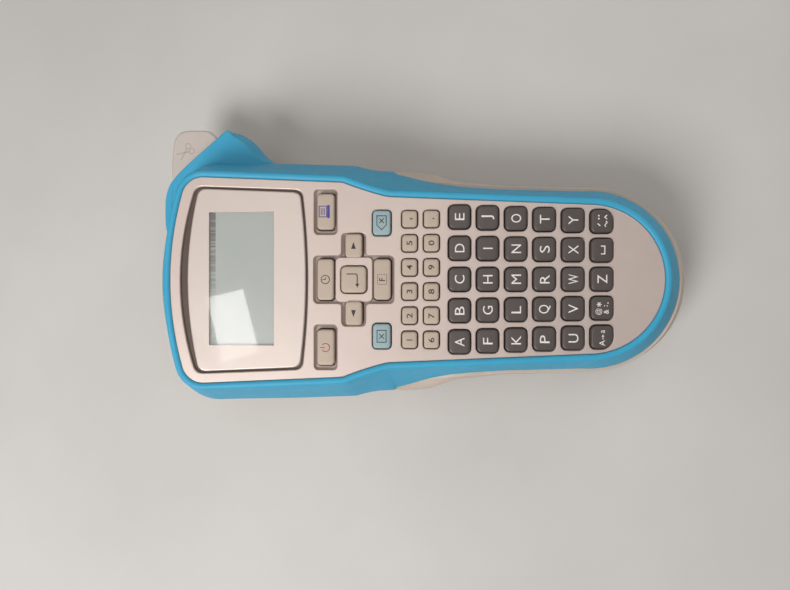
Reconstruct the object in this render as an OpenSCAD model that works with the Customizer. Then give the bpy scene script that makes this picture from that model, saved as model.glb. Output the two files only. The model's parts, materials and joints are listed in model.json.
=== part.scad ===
// Handheld label maker: head with display and tape bay, keyboard, battery handle.
// Millimetres. The origin is on the table under the middle of the keyboard's centre line.
// +Y points to the head, +X to the cutter's side and +Z up.
// All pieces are drawn in the face frame: the front panel's plane is z = 0 there,
// and place() lifts and tilts that frame into the part's own frame.

/* [Overall] */
// Length of the front panel
panel_len = 175.7; // [160:0.1:215]
// Width of the front panel at the head's corners
head_w = 74.8; // [70:0.1:92]
// Height of the whole body above the table
body_h = 55; // [52:0.5:68]
// Tilt of the face, head end high
face_tilt = 5; // [4:0.5:6]

/* [Panel outline] */
// Width of the panel where the head ends
neck_w = 69.6; // [68:0.1:84]
// Width of the panel at the top of the handle
waist_w = 59; // [58:0.1:68]
// Width of the handle at its round end
handle_w = 52; // [51:0.1:64]
// Radius of the head's corners
corner_r = 8; // [5:0.5:10]
// Radius of the head end's bow
head_bow_r = 111; // [95:1:160]
// Length of the shoulder between head and handle
shoulder_len = 16; // [12:1:24]

/* [Shells] */
// Wall of the two case halves
wall = 2; // [1.6:0.1:2.6]
// Thickness of the front panel
panel_t = 2.2; // [1.8:0.1:2.8]
// Width of the blue rim round the panel
rim_w = 2.2; // [1.6:0.1:3]
// Gap between shells that meet
shell_gap = 0.15; // [0.1:0.05:0.3]
// Height of the handle's underside above the table
grip_lift = 13; // [10:0.5:15]
// Thickness of the rear cover
cover_t = 2; // [1.6:0.1:2.4]
// Width of the rear cover over the tape bay
cover_w = 68; // [67:0.5:70]

/* [Display] */
// Width of the lens at its head end
lens_w = 66.6; // [60:0.1:68]
// Thickness of the lens
lens_t = 1.4; // [1:0.1:1.6]
// Width of the visible display
lcd_w = 48.2; // [40:0.1:54]
// Height of the visible display
lcd_d = 24; // [18:0.1:28]

/* [Keys] */
// Gap round each key
key_gap = 0.35; // [0.25:0.05:0.45]
// Height of the key tops above the panel
key_rise = 1.2; // [0.8:0.1:2]
// Travel of a key
key_travel = 0.8; // [0.5:0.1:0.9]
// Pitch of the letter rows
row_pitch = 9.81; // [9.4:0.01:10.4]
// Pitch of the letter keys in the first row
letter_pitch = 11; // [10.6:0.05:11.3]

/* [Drive] */
// Module of the gears
gear_m = 0.5; // [0.45:0.01:0.6]
// Radius of the platen roller
platen_r = 4; // [3.5:0.1:5]
// Radius of the gear shafts
shaft_r = 1; // [0.8:0.1:1.3]
// Radial clearance of shafts in their holes
running_gap = 0.05; // [0.02:0.01:0.08]

/* [Cassette] */
// Width of the tape cassette
cassette_w = 60; // [52:0.5:61]
// Length of the tape cassette
cassette_len = 79; // [74:0.5:80]
// Thickness of the tape cassette
cassette_h = 18.6; // [16:0.1:19]
// Width of the label tape
tape_w = 12; // [9:0.5:12.5]

/* [Cutter] */
// Radius of the cutter's pivot pin
pin_r = 1.5; // [1.2:0.1:2]
// Thickness of the cutter lever
lever_t = 4.2; // [3:0.1:5]

/* [Power] */
// Diameter of one cell
cell_d = 10.5; // [9.5:0.1:10.8]
// Length of one cell with its terminal
cell_len = 44.5; // [40:0.1:46]
// Radius of the adapter socket's bore
jack_r = 2.85; // [2.5:0.05:3.2]

/* [Hidden] */

BLUE = [0.33, 0.66, 0.86];
SILVER = [0.76, 0.75, 0.73];
BEIGE = [0.80, 0.77, 0.74];
DARK_KEY = [0.36, 0.35, 0.36];
LIGHT_KEY = [0.72, 0.70, 0.67];
PALE_BLUE = [0.62, 0.76, 0.80];
STEEL = [0.72, 0.73, 0.75];
BLACK = [0.12, 0.12, 0.13];
WHITE = [0.93, 0.93, 0.92];

// Stations of the panel outline, from the middle of the panel
head_y = panel_len / 2;
tail_y = -panel_len / 2;
cap_y = tail_y + handle_w / 2;
shoulder_y = 24.5;
waist_y = shoulder_y - shoulder_len;
corner_end = 75;
corner_x = head_w / 2 - corner_r;
bow_x = corner_x + corner_r * cos(corner_end);
corner_y = head_y - bow_x * bow_x / (2 * head_bow_r) - corner_r * sin(corner_end);
head_steps = 7;
corner_steps = 6;
side_steps = 34;
cap_steps = 12;

// Levels below the face
rim_rise = 0.3;
ledge_w = 0.5;
ledge_t = 1.5;
mat_t = 0.8;
board_t = 1.6;
key_foot = -3;
mat_top = key_foot - key_travel - 0.4;
board_top = mat_top - mat_t - 0.3;
board_low = board_top - board_t;
head_seam = 20;
grip_seam = 10;
gear_w = 3;
layer_gap = 0.4;
chassis_t = 1.8;
chassis_top = -21.7;
chassis_low = chassis_top - chassis_t;
layer_a = chassis_top + 0.5;
layer_b = layer_a + gear_w + layer_gap;
face_z = body_h - (head_y + rim_w) * sin(face_tilt) - rim_rise * cos(face_tilt);

// Height of the underside above the table along the body
foot_y = tail_y + 3;
base_y = -6;
ramp_len = 20;
LIFT = [
    [tail_y - 20, 0], [foot_y, 0], [foot_y + ramp_len, grip_lift],
    [base_y - ramp_len, grip_lift], [base_y, 0], [head_y + 20, 0]
];

// Distance of the shells outside the panel's edge, along the body
SEAM_OUT = [
    [tail_y, 8.4], [cap_y, 6.2], [-34, 5.8], [-19, 6.2], [-6, 9.5],
    [2, 12], [11, 12.6], [18, 11], [26, 10], [45, 9.9], [75, 9.2], [head_y - 4, 10], [head_y, 11.8]
];
BULGE_OUT = [
    [tail_y, 13.1], [tail_y + 17, 8], [-34, 8], [-18, 9.2], [-14, 10.2], [-6.5, 13.2],
    [1, 14.2], [11, 13.2], [18, 11.4], [26, 10.2], [45, 10], [75, 9.2], [head_y - 4, 10], [head_y, 12]
];

function mix(a, b, t) = a + (b - a) * t;
function clamp01(t) = min(1, max(0, t));
function smooth(t) = let (c = clamp01(t)) c * c * (3 - 2 * c);
function eased(t) = let (c = clamp01(t)) c * (1.25 - 0.25 * c);
function seam_z(y) = -mix(grip_seam, head_seam, smooth((y + 18) / 28));
function floor_z(y) = (lookup(y, LIFT) - face_z - y * sin(face_tilt)) / cos(face_tilt);
function between(y, f) = mix(seam_z(y), floor_z(y), f);

// Half width of the panel at a station of its side
function side_half(y) = mix(
    mix(neck_w, head_w, (y - shoulder_y) / (corner_y - shoulder_y)),
    mix(handle_w, waist_w, (y - cap_y) / (waist_y - cap_y)),
    eased((shoulder_y - y) / shoulder_len)) / 2;

// Right half of the panel's outline, from the head's apex to the tail's
HALF = concat(
    [for (k = [0 : head_steps - 1]) let (x = corner_x * k / (head_steps - 1))
        [x, head_y - x * x / (2 * head_bow_r)]],
    [for (k = [0 : corner_steps - 1]) let (a = corner_end * (1 - k / corner_steps))
        [corner_x + corner_r * cos(a), corner_y + corner_r * sin(a)]],
    [for (k = [0 : side_steps]) let (y = mix(corner_y, cap_y, k / side_steps)) [side_half(y), y]],
    [for (k = [1 : cap_steps]) let (a = -90 * k / cap_steps)
        [k == cap_steps ? 0 : handle_w / 2 * cos(a), cap_y + handle_w / 2 * sin(a)]]
);
half_n = len(HALF);
ring_n = 2 * half_n - 2;

// Outward unit normal at each point of the half outline
function unit(v) = v / norm(v);
function turn_out(v) = [-v.y, v.x];
NORMALS = [for (i = [0 : half_n - 1])
    i == 0 ? [0, 1] : i == half_n - 1 ? [0, -1] : unit(turn_out(HALF[i + 1] - HALF[i - 1]))];

// One closed ring outside the panel's edge: an offset for each point, and a height that
// depends on how far along the body the point lies
function ring(offsets, height) = let (
        flat = [for (i = [0 : half_n - 1]) HALF[i] + NORMALS[i] * offsets[i]],
        right = [for (p = flat) [p.x, p.y, height(p.y)]])
    concat(right, [for (i = [half_n - 2 : -1 : 1]) [-right[i].x, right[i].y, right[i].z]]);
function each_y(f) = [for (p = HALF) f(p.y)];
function flat_ring(grow, z) = ring([for (p = HALF) grow], function (y) z);
function outline(grow) = [for (p = flat_ring(grow, 0)) [p.x, p.y]];

// Side faces between neighbouring rings
function wall_faces(rings, closed) = [
    for (k = [0 : rings - (closed ? 1 : 2)]) for (i = [0 : ring_n - 1])
        let (a = k * ring_n, b = ((k + 1) % rings) * ring_n, j = (i + 1) % ring_n)
        for (t = [[a + i, b + i, b + j], [a + i, b + j, a + j]]) t
];
// Strips straight across a ring, which close it
function cap_faces(base, up) = [for (i = [0 : half_n - 2])
    let (left = (ring_n - i) % ring_n, next = ring_n - i - 1,
         strip = i == 0 ? [0, 1, next] : i == half_n - 2 ? [i, i + 1, left] : [i, i + 1, next, left])
    [for (q = up ? strip : [for (m = [len(strip) - 1 : -1 : 0]) strip[m]]) base + q]];

// Points of a rectangle with four corner radii, from +X +Y round to +X -Y
function rounded(w, d, radii, steps = 4) = [for (c = [0 : 3]) for (k = [0 : steps])
    let (a = 90 * c + 90 * k / steps, r = radii[c])
    [(c == 0 || c == 3 ? 1 : -1) * (w / 2 - r) + r * cos(a), (c < 2 ? 1 : -1) * (d / 2 - r) + r * sin(a)]];
function even(r) = [r, r, r, r];

module place() {
    translate([0, 0, face_z]) rotate([face_tilt, 0, 0]) children();
}

// A straight block between two levels
module slab(points, low, high) {
    translate([0, 0, low]) linear_extrude(high - low) polygon(points);
}

module block(x, y, z) {
    translate([x[0], y[0], z[0]]) cube([x[1] - x[0], y[1] - y[0], z[1] - z[0]]);
}

module rod(at, r, low, high) {
    translate([at.x, at.y, low]) cylinder(r = r, h = high - low, $fn = 48);
}

// ---------------------------------------------------------------- shells

boss_r = 3.5;
screw_r = 1;
screw_head_r = 2.6;
screw_head_t = 1.8;
sink_depth = 3;
side_boss_x = cover_w / 2 + 3.7;
SCREWS = [
    [side_boss_x, 22], [-side_boss_x, 22], [14, head_y + 0.6], [-14, head_y + 0.6],
    [9, tail_y - 0.8], [-9, tail_y - 0.8]
];

function upper_boss_top(at) = at.y > head_y ? -7.5 : at.y > 0 ? -11 : -5.6;

lever_top = -27.6;
lever_low = lever_top - lever_t;
lever_gap = 0.7;
hood_low = lever_top + lever_gap;
hood_top = -head_seam + 1.5;
shelf_top = lever_low - lever_gap;
shelf_t = 2.6;

// The cutter's corner hangs on the head's corner
cx = head_w / 2;
cy = head_y;
PIVOT = [cx + 5.1, cy - 15.8];
HOOD = [
    [cx - 19.9, cy + 7.6], [cx - 19.6, cy + 8.9], [cx - 16.8, cy + 10.1], [cx - 9, cy + 10.3], [cx - 3, cy + 10],
    [cx + 2.8, cy + 7.5], [cx + 11.4, cy - 1.9], [cx + 19.6, cy - 11.8], [cx + 22.3, cy - 14.6], [cx + 22.6, cy - 16.2],
    [cx + 21.8, cy - 18.6], [cx + 19.3, cy - 22.9], [cx + 15.5, cy - 26.4], [cx + 11.8, cy - 29.2], [cx + 9.6, cy - 33.5],
    [cx + 7, cy - 33.5], [cx + 1, cy - 27], [cx + 1, cy - 11], [cx - 2, cy + 2], [cx - 8, cy + 7]
];
tape_x = cassette_w / 2 - 5.4;
arm_x = tape_x + 3.2;
LEVER = [
    [cx + 1, cy - 17.5], [cx + 3, cy - 19.5], [cx + 9, cy - 19.5], [cx + 15, cy - 13.5], [cx + 20.4, cy - 8],
    [cx + 23.7, cy - 5], [cx + 24.6, cy - 3], [cx + 24.6, cy + 5], [cx + 24, cy + 8], [cx + 22.2, cy + 9.9],
    [cx + 19, cy + 11], [cx + 12.6, cy + 11.6], [cx + 6, cy + 11.8], [cx + 1, cy + 9.6],
    [arm_x, cy + 5], [arm_x, cy + 1], [cx - 3, cy + 0.5], [cx - 1, cy - 2], [cx + 1, cy - 9]
];
SHELF = [
    [cx - 1, cy + 9.3], [cx + 5, cy + 6], [cx + 12.5, cy - 3.2], [cx + 18.5, cy - 12.5], [cx + 17, cy - 18],
    [cx + 9.5, cy - 28], [cx + 6, cy - 28], [cx + 1.5, cy - 24], [cx + 1.5, cy - 10], [cx - 1.5, cy + 5]
];

module upper_case() {
    soft = rim_w + 0.7;
    seam_out = each_y(function (y) lookup(y, SEAM_OUT));
    mid_out = [for (o = seam_out) mix(soft, o, 0.5)];
    at_seam = function (y) seam_z(y);
    rings = [
        flat_ring(shell_gap, rim_rise),
        flat_ring(rim_w, rim_rise - 0.1),
        flat_ring(soft, -1),
        ring(mid_out, function (y) mix(-1, seam_z(y), 0.48)),
        ring(seam_out, at_seam),
        ring([for (o = seam_out) o - wall], at_seam),
        ring([for (o = mid_out) o - wall], function (y) mix(-1, seam_z(y), 0.5)),
        flat_ring(soft - wall, -panel_t - ledge_t - 1.2),
        flat_ring(-ledge_w, -panel_t - ledge_t),
        flat_ring(-ledge_w, -panel_t - shell_gap),
        flat_ring(shell_gap, -panel_t - shell_gap)
    ];
    color(BLUE) place() difference() {
        union() {
            polyhedron([for (r = rings) each r], wall_faces(len(rings), true), convexity = 8);
            slab(HOOD, hood_low, hood_top);
            for (at = SCREWS) rod(at, boss_r - 0.5, seam_z(at.y), upper_boss_top(at));
        }
        for (at = SCREWS) rod(at, screw_r + running_gap, seam_z(at.y) - 1, upper_boss_top(at) - 2);
        rod(PIVOT, pin_r + running_gap, hood_low - 1, hood_low + 3.5);
    }
}

function cover_half(y) = mix(cover_w / 2, 21, smooth((6 - y) / 18));
cover_head = head_y - 5;
cover_tail = tail_y + 11;
cover_steps = 8;
// Outline of the rear cover, grown by a gap
function cover_side(grow) = concat(
    [[cover_w / 2 - 6, cover_head + grow], [cover_w / 2 - 2 + grow, cover_head - 2 + grow],
     [cover_w / 2 + grow, cover_head - 6]],
    [for (k = [0 : cover_steps]) let (y = mix(6, -12, k / cover_steps)) [cover_half(y) + grow, y]],
    [[21 + grow, cover_tail + 6], [19 + grow, cover_tail + 2 - grow], [15, cover_tail - grow]]
);
function mirrored(points) = concat(points, [for (i = [len(points) - 1 : -1 : 0]) [-points[i].x, points[i].y]]);

LIFT_Y = [for (p = LIFT) p[0]];
// Side profile of the underside's skin, between two heights above the floor
function skin_profile(low, high) = concat(
    [for (y = LIFT_Y) [y, floor_z(y) + low]],
    [for (i = [len(LIFT_Y) - 1 : -1 : 0]) [LIFT_Y[i], floor_z(LIFT_Y[i]) + high]]);

module across(points, half) {
    translate([-half, 0, 0]) rotate([90, 0, 90]) linear_extrude(2 * half) polygon(points);
}

slot_w = 5.4;
slot_x = [tape_x - 2.6, tape_x - 2.6 + slot_w];
tape_mid = chassis_low - 0.7 - cassette_h / 2;
jack_y = 32;
jack_z = -29;
jack_body = 9;

module lower_case() {
    bulge = each_y(function (y) lookup(y, BULGE_OUT));
    seam_out = each_y(function (y) lookup(y, SEAM_OUT) + mix(1.2, 0, smooth((y + 20) / 25)));
    foot_in = 6.5;
    at_seam = function (y) seam_z(y) - shell_gap;
    inner_floor = function (y) floor_z(y) + wall;
    rings = [
        ring([for (o = bulge) o - foot_in - wall + 0.6], inner_floor),
        ring([for (o = bulge) o - 4 - wall], function (y) mix(inner_floor(y), seam_z(y), 0.08)),
        ring([for (o = bulge) o - 1.5 - wall], function (y) between(y, 0.6)),
        ring([for (o = bulge) o - wall], function (y) between(y, 0.2)),
        ring([for (o = seam_out) o - wall], at_seam),
        ring(seam_out, at_seam),
        ring(bulge, function (y) between(y, 0.2)),
        ring([for (o = bulge) o - 1.5], function (y) between(y, 0.6)),
        ring([for (o = bulge) o - 4], function (y) between(y, 0.93)),
        ring([for (o = bulge) o - foot_in], function (y) floor_z(y))
    ];
    last_ring = (len(rings) - 1) * ring_n;
    color(BEIGE) place() difference() {
        union() {
            polyhedron([for (r = rings) each r],
                concat(cap_faces(0, true), wall_faces(len(rings), false), cap_faces(last_ring, false)),
                convexity = 8);
            slab(SHELF, shelf_top - shelf_t, shelf_top);
            for (at = SCREWS) rod(at, boss_r, floor_z(at.y) + 1, seam_z(at.y) - shell_gap);
        }
        slab(mirrored(cover_side(shell_gap)), floor_z(head_y) - 10, floor_z(cover_tail) + 16);
        slab(HOOD, hood_low - shell_gap, hood_top);
        block([arm_x - 0.6, cx + 40], [cy - 24, cy + 20], [shelf_top, hood_low + 0.5]);
        block(slot_x, [head_y, head_y + 30], [tape_mid - tape_w / 2 - 2, tape_mid + tape_w / 2 + 2]);
        rod(PIVOT, pin_r + running_gap, shelf_top - shelf_t - 1, shelf_top + 1);
        for (at = SCREWS) {
            rod(at, screw_r + 0.2, floor_z(at.y) - 3, seam_z(at.y) + 1);
            rod(at, screw_head_r + 0.3, floor_z(at.y) - 3, floor_z(at.y) + sink_depth);
        }
        translate([-head_w, jack_y, jack_z]) rotate([0, 90, 0]) cylinder(r = jack_body / 2 + 0.3, h = head_w - 20, $fn = 48);
    }
}

module rear_cover() {
    color(BEIGE) place() {
        intersection() {
            across(skin_profile(0, cover_t), cover_w);
            slab(mirrored(cover_side(0)), floor_z(head_y) - 10, floor_z(cover_tail) + 16);
        }
    }
}

// ---------------------------------------------------------------- face

lcd_y = head_y - 26.4;
lens_head_edge = head_y - 10.6;
lens_head_apex = head_y - 6.4;
lens_tail_edge = head_y - 48;
lens_taper = 1.8;
lens_tail_apex = head_y - 50.1;
bow_steps = 8;
// The lens is bowed at both ends
function lens_outline(grow) = concat(
    [for (k = [-bow_steps : bow_steps]) let (t = k / bow_steps)
        [-t * (lens_w / 2 + grow), mix(lens_head_apex, lens_head_edge, t * t) + grow]],
    [for (k = [-bow_steps : bow_steps]) let (t = k / bow_steps)
        [t * (lens_w / 2 - lens_taper + grow), mix(lens_tail_apex, lens_tail_edge, t * t) - grow]]);

// Keys: centre, opening size and corner radius
POWER = [-24.2, 30.4, 13.4, 6.9, 1.5];
PRINT = [24.2, 30.4, 13.4, 6.9, 1.5];
CLOCK = [0, 30.5, 15.3, 6.6, 1.5];
LEFT = [-12, 20.4, 9.1, 6.7, 1.4];
RIGHT = [12, 20.4, 9.1, 6.7, 1.4];
ENTER = [0, 20.4, 10.1, 9.7, 1.8];
FUNCTION = [0, 10.2, 15.1, 6.7, 1.5];
CLEAR = [-20.1, 10.4, 9.4, 7, 1.5];
BACKSPACE = [20.1, 10.4, 9.4, 7, 1.5];
digit_y = [0.5, -7.2];
digit_pitch = 8.55;
digit_w = 6.5;
digit_d = 6;
letter_y = -17.1;
letter_d = 8.2;
letter_r = 1.9;
digit_r = 1.3;
last_row = 5;
function row_y(i) = letter_y - row_pitch * i;
function letter_x(i, k) = (k - 2) * (letter_pitch - 0.19 * i);
function letter_w(i) = 8.9 - 0.05 * i;
function digit_key(row, k) = [(k - 2.5) * digit_pitch, digit_y[row], digit_w, digit_d, digit_r];
function letter_key(i, k) = [letter_x(i, k), row_y(i), letter_w(i), letter_d, letter_r];
ALL_KEYS = concat(
    [POWER, PRINT, CLOCK, LEFT, RIGHT, ENTER, FUNCTION, CLEAR, BACKSPACE],
    [for (row = [0 : 1]) for (k = [0 : 5]) digit_key(row, k)],
    [for (i = [0 : last_row]) for (k = [0 : 4]) letter_key(i, k)]);
// The outer keys of the last row have a large corner beside the round end
end_corner_r = 4;
function is_corner(key) = abs(key[1] - row_y(last_row)) < 1 && abs(key[0]) > 1.5 * letter_pitch;
function key_radii(key, less) = let (r = key[4] - less, big = end_corner_r - less)
    is_corner(key) ? (key[0] > 0 ? [r, r, r, big] : [r, r, big, r]) : even(r);
function key_outline(key, inset) =
    [for (p = rounded(key[2] - 2 * inset, key[3] - 2 * inset, key_radii(key, inset / 2))) p + [key[0], key[1]]];
// Shallow recesses round the larger keys: centre, size and radius
RECESSES = [
    [POWER[0], POWER[1] + 0.2, 16.4, 8.5, 1.6], [PRINT[0], PRINT[1] + 0.2, 16.4, 8.5, 1.6],
    [0, 20.5, 17.4, 29.2, 2], [0, 20.5, 33.6, 9, 2]
];
recess_depth = 0.5;

module front_panel() {
    color(SILVER) place() difference() {
        slab(outline(0), -panel_t, 0);
        for (r = RECESSES)
            translate([r[0], r[1], 0]) slab(rounded(r[2], r[3], even(r[4])), -recess_depth, 1);
        for (key = ALL_KEYS) slab(key_outline(key, 0), -panel_t - 1, 1);
        slab(lens_outline(shell_gap), -lens_t - 0.1, 1);
        translate([0, lcd_y, 0]) slab(rounded(lcd_w + 2, lcd_d + 2, even(1)), -panel_t - 1, 1);
    }
}

module display_window() {
    color([0.7, 0.78, 0.78, 0.6]) place() slab(lens_outline(0), -lens_t, 0);
}

lcd_border = 3.5;
module lcd_module() {
    color([0.55, 0.62, 0.58]) place() translate([0, lcd_y, 0]) union() {
        slab(rounded(lcd_w + 2 * lcd_border, lcd_d + 2 * lcd_border, even(0.6)), board_top + 0.4, -panel_t - 0.5);
        slab(rounded(lcd_w + 1, lcd_d + 1, even(0.6)), -panel_t - 0.5, -lens_t - 0.4);
    }
}

module lcd_cable() {
    edge = lcd_y - lcd_d / 2 - lcd_border;
    color([0.75, 0.5, 0.2]) place() union() {
        block([-9, 9], [edge - 3, edge - 0.1], [board_top + 0.9, board_top + 1.1]);
        block([-9, 9], [edge - 3.2, edge - 3], [board_top + 0.05, board_top + 1.1]);
    }
}

module key_cap(key, shade) {
    bevel = 0.4;
    color(shade) place() union() {
        slab(key_outline(key, key_gap), key_foot, key_rise - bevel);
        slab(key_outline(key, key_gap + bevel), key_rise - bevel, key_rise);
    }
}

module power_key() { key_cap(POWER, LIGHT_KEY); }
module print_key() { key_cap(PRINT, LIGHT_KEY); }
module clock_key() { key_cap(CLOCK, LIGHT_KEY); }
module left_key() { key_cap(LEFT, LIGHT_KEY); }
module right_key() { key_cap(RIGHT, LIGHT_KEY); }
module enter_key() { key_cap(ENTER, LIGHT_KEY); }
module function_key() { key_cap(FUNCTION, LIGHT_KEY); }
module clear_key() { key_cap(CLEAR, PALE_BLUE); }
module backspace_key() { key_cap(BACKSPACE, PALE_BLUE); }
module digit_row(row) { for (k = [0 : 5]) key_cap(digit_key(row, k), LIGHT_KEY); }
module letter_row(i) { for (k = [0 : 4]) key_cap(letter_key(i, k), DARK_KEY); }
module caps_key() { key_cap(letter_key(last_row, 0), DARK_KEY); }
module symbol_key() { key_cap(letter_key(last_row, 1), DARK_KEY); }
module z_key() { key_cap(letter_key(last_row, 2), DARK_KEY); }
module space_key() { key_cap(letter_key(last_row, 3), DARK_KEY); }
module accent_key() { key_cap(letter_key(last_row, 4), DARK_KEY); }

// ---------------------------------------------------------------- electronics

mat_inset = -1.2;
mat_end = 36;
pad_r = 2;
pad_rise = 0.25;
function cut_outline(grow, low, high) = [for (p = outline(grow)) if (p.y > low && p.y < high) p];

module keypad_mat() {
    color([0.25, 0.25, 0.27]) place() union() {
        slab(cut_outline(mat_inset, tail_y, mat_end), mat_top - mat_t, mat_top);
        for (key = ALL_KEYS) rod([key[0], key[1]], pad_r, mat_top - 0.2, mat_top + pad_rise);
    }
}

board_end = head_y - 7;
standoff_r = 2.2;
pilot_r = 1.2;
STANDOFFS = [[-29, 12], [-29, head_y - 11], [27, 12], [11, head_y - 10]];
module main_board() {
    color([0.15, 0.45, 0.25]) place() difference() {
        slab(cut_outline(-2, tail_y + 14, board_end), board_low, board_top);
        for (at = STANDOFFS) rod(at, pilot_r, board_low - 1, board_top + 1);
    }
}

chip_t = 1.4;
module board_components() {
    color(BLACK) place() union() {
        block([-22, -8], [40, 54], [board_low - chip_t, board_low]);
        block([-20, -12], [60, 70], [board_low - chip_t, board_low]);
        block([-8, 8], [-14, -10], [board_low - 3, board_low]);
        for (x = [-26, -18, -10]) rod([x, 30], 2.6, board_low - 4.5, board_low);
        rod([4, 24], 5, board_low - 3.5, board_low);
        block([12, 16], [28, 34], [board_low - 2, board_low]);
    }
}

cell_mid = -49;
cell_play = 0.86;
cell_pitch = cell_d + 0.8;
cell_room = 1.8;
tray_end_t = 1.2;
tray_half = 2 * cell_pitch + 1;
tray_y = cell_len / 2 + cell_room + tray_end_t;
cell_z = floor_z(max(cell_mid - tray_y, foot_y + ramp_len)) + cover_t + cell_play + cell_d / 2;
function cell_x(k) = (k - 1.5) * cell_pitch;
function cell_sign(k) = k % 2 == 0 ? 1 : -1;
// A round bar along Y, from one distance to another along the cell's own direction
module along(k, r, from, to) {
    translate([cell_x(k), cell_mid, cell_z]) rotate([-90 * cell_sign(k), 0, 0])
        translate([0, 0, from]) cylinder(r = r, h = to - from, $fn = 48);
}

module battery_tray() {
    color(BLACK) place() difference() {
        block([-tray_half, tray_half], [cell_mid - tray_y, cell_mid + tray_y], [cell_z - 4.5, cell_z + cell_d / 2 + 1.6]);
        for (k = [0 : 3]) along(k, cell_d / 2 + 0.15, -tray_y + tray_end_t, tray_y - tray_end_t);
        block([-tray_half + 1, tray_half - 1], [cell_mid - tray_y + tray_end_t, cell_mid + tray_y - tray_end_t],
            [cell_z - 6, cell_z - 0.5]);
    }
}

module battery_cells() {
    nipple = 1;
    nipple_r = 1.9;
    color([0.35, 0.5, 0.35]) place() for (k = [0 : 3]) {
        along(k, cell_d / 2, -cell_len / 2, cell_len / 2 - nipple);
        along(k, nipple_r, cell_len / 2 - nipple, cell_len / 2);
    }
}

contact_t = 0.4;
contact_half = 3.6;
module battery_contacts() {
    color(STEEL) place() for (k = [0 : 3]) for (side = [-1, 1])
        let (inner = cell_mid + side * (tray_y - tray_end_t - contact_t), outer = inner + side * contact_t)
            block([cell_x(k) - contact_half, cell_x(k) + contact_half], [min(inner, outer), max(inner, outer)],
                [cell_z - contact_half, cell_z + contact_half]);
}

// A coil of round wire along Z: rings of points swept round the turns
coil_sides = 6;
coil_steps = 12;
module coil(r, wire, height, turns) {
    steps = turns * coil_steps;
    points = [for (i = [0 : steps]) let (a = 360 * i / coil_steps, rise = wire + (height - 2 * wire) * i / steps)
        for (j = [0 : coil_sides - 1]) let (b = 360 * j / coil_sides)
        [(r + wire * cos(b)) * cos(a), (r + wire * cos(b)) * sin(a), rise + wire * sin(b)]];
    sides = [for (i = [0 : steps - 1]) for (j = [0 : coil_sides - 1])
        let (p = i * coil_sides + j, q = i * coil_sides + (j + 1) % coil_sides)
        for (t = [[p, q + coil_sides, p + coil_sides], [p, q, q + coil_sides]]) t];
    ends = [[for (j = [coil_sides - 1 : -1 : 0]) j],
        [for (j = [0 : coil_sides - 1]) steps * coil_sides + j]];
    polyhedron(points, concat(sides, ends), convexity = 10);
}

spring_play = 0.05;
spring_wire = 0.25;
module battery_springs() {
    color(STEEL) place() for (k = [0 : 3])
        translate([cell_x(k), cell_mid, cell_z]) rotate([-90 * cell_sign(k), 0, 0])
            translate([0, 0, -tray_y + tray_end_t + contact_t + spring_play])
                coil(2.6, spring_wire - 0.05, cell_room - contact_t - 2 * spring_play, 1.5);
}

jack_out = -(side_half(jack_y) + lookup(jack_y, BULGE_OUT) - 0.6);
module adapter_socket() {
    depth = 10;
    color(BLACK) place() translate([jack_out, jack_y, jack_z]) rotate([0, 90, 0]) difference() {
        cylinder(r = jack_body / 2, h = depth + 1.5, $fn = 48);
        translate([0, 0, -1]) cylinder(r = jack_r, h = depth + 1, $fn = 48);
    }
}

// ---------------------------------------------------------------- drive

pinion_teeth = 12;
big_teeth = 40;
small_teeth = 12;
idler_teeth = 36;
platen_teeth = 30;
ribbon_teeth = 30;
function pitch_r(teeth) = gear_m * teeth / 2;
function toward(a) = [cos(a), sin(a)];
function heading(a, b) = atan2(b.y - a.y, b.x - a.x);
// The point at two distances from two points, on the left of the way from a to b
function meet(a, ra, b, rb) = let (d = norm(b - a), s = (ra * ra - rb * rb + d * d) / (2 * d),
    h = sqrt(ra * ra - s * s), u = (b - a) / d) a + s * u + h * [u.y, -u.x];
// Angle of a gear's first tooth, so that it meshes with the gear at a
function mesh_phase(a, teeth_a, phase_a, b, teeth_b) = let (h = heading(a, b))
    h + 180 + 180 / teeth_b - (phase_a - h) * teeth_a / teeth_b;

tape_gap = 0.1;
tape_t = 0.3;
motor_back = 51.85;
MOTOR = [cassette_w / 2 + 4, head_y - motor_back];
PLATEN = [tape_x + tape_t / 2 + tape_gap + platen_r, head_y - 17.8];
REDUCTION = MOTOR + (pitch_r(pinion_teeth) + pitch_r(big_teeth)) * toward(105);
IDLER = meet(PLATEN, pitch_r(platen_teeth) + pitch_r(idler_teeth),
    REDUCTION, pitch_r(small_teeth) + pitch_r(idler_teeth));
RIBBON = IDLER + (pitch_r(idler_teeth) + pitch_r(ribbon_teeth)) * toward(165);
idler_phase = mesh_phase(PLATEN, platen_teeth, 0, IDLER, idler_teeth);
small_phase = mesh_phase(IDLER, idler_teeth, idler_phase, REDUCTION, small_teeth);
ribbon_phase = mesh_phase(IDLER, idler_teeth, idler_phase, RIBBON, ribbon_teeth);
pinion_phase = mesh_phase(REDUCTION, big_teeth, 0, MOTOR, pinion_teeth);
ribbon_shaft_r = 1.5 * shaft_r;

function gear_outline(teeth, phase) = let (r = pitch_r(teeth), root = r - 1.15 * gear_m, tip = r + 0.8 * gear_m)
    [for (k = [0 : teeth - 1]) let (a = phase + 360 * k / teeth, p = 360 / teeth)
        each [root * toward(a - 0.26 * p), tip * toward(a - 0.1 * p),
            tip * toward(a + 0.1 * p), root * toward(a + 0.26 * p)]];

module gear(at, teeth, phase, low) {
    translate([at.x, at.y, low]) linear_extrude(gear_w) polygon(gear_outline(teeth, phase));
}

module motor_pinion() {
    color([0.85, 0.7, 0.3]) place() union() {
        gear(MOTOR, pinion_teeth, pinion_phase, layer_a);
        rod(MOTOR, shaft_r, chassis_low - shaft_end, layer_a + gear_w);
    }
}

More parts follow.
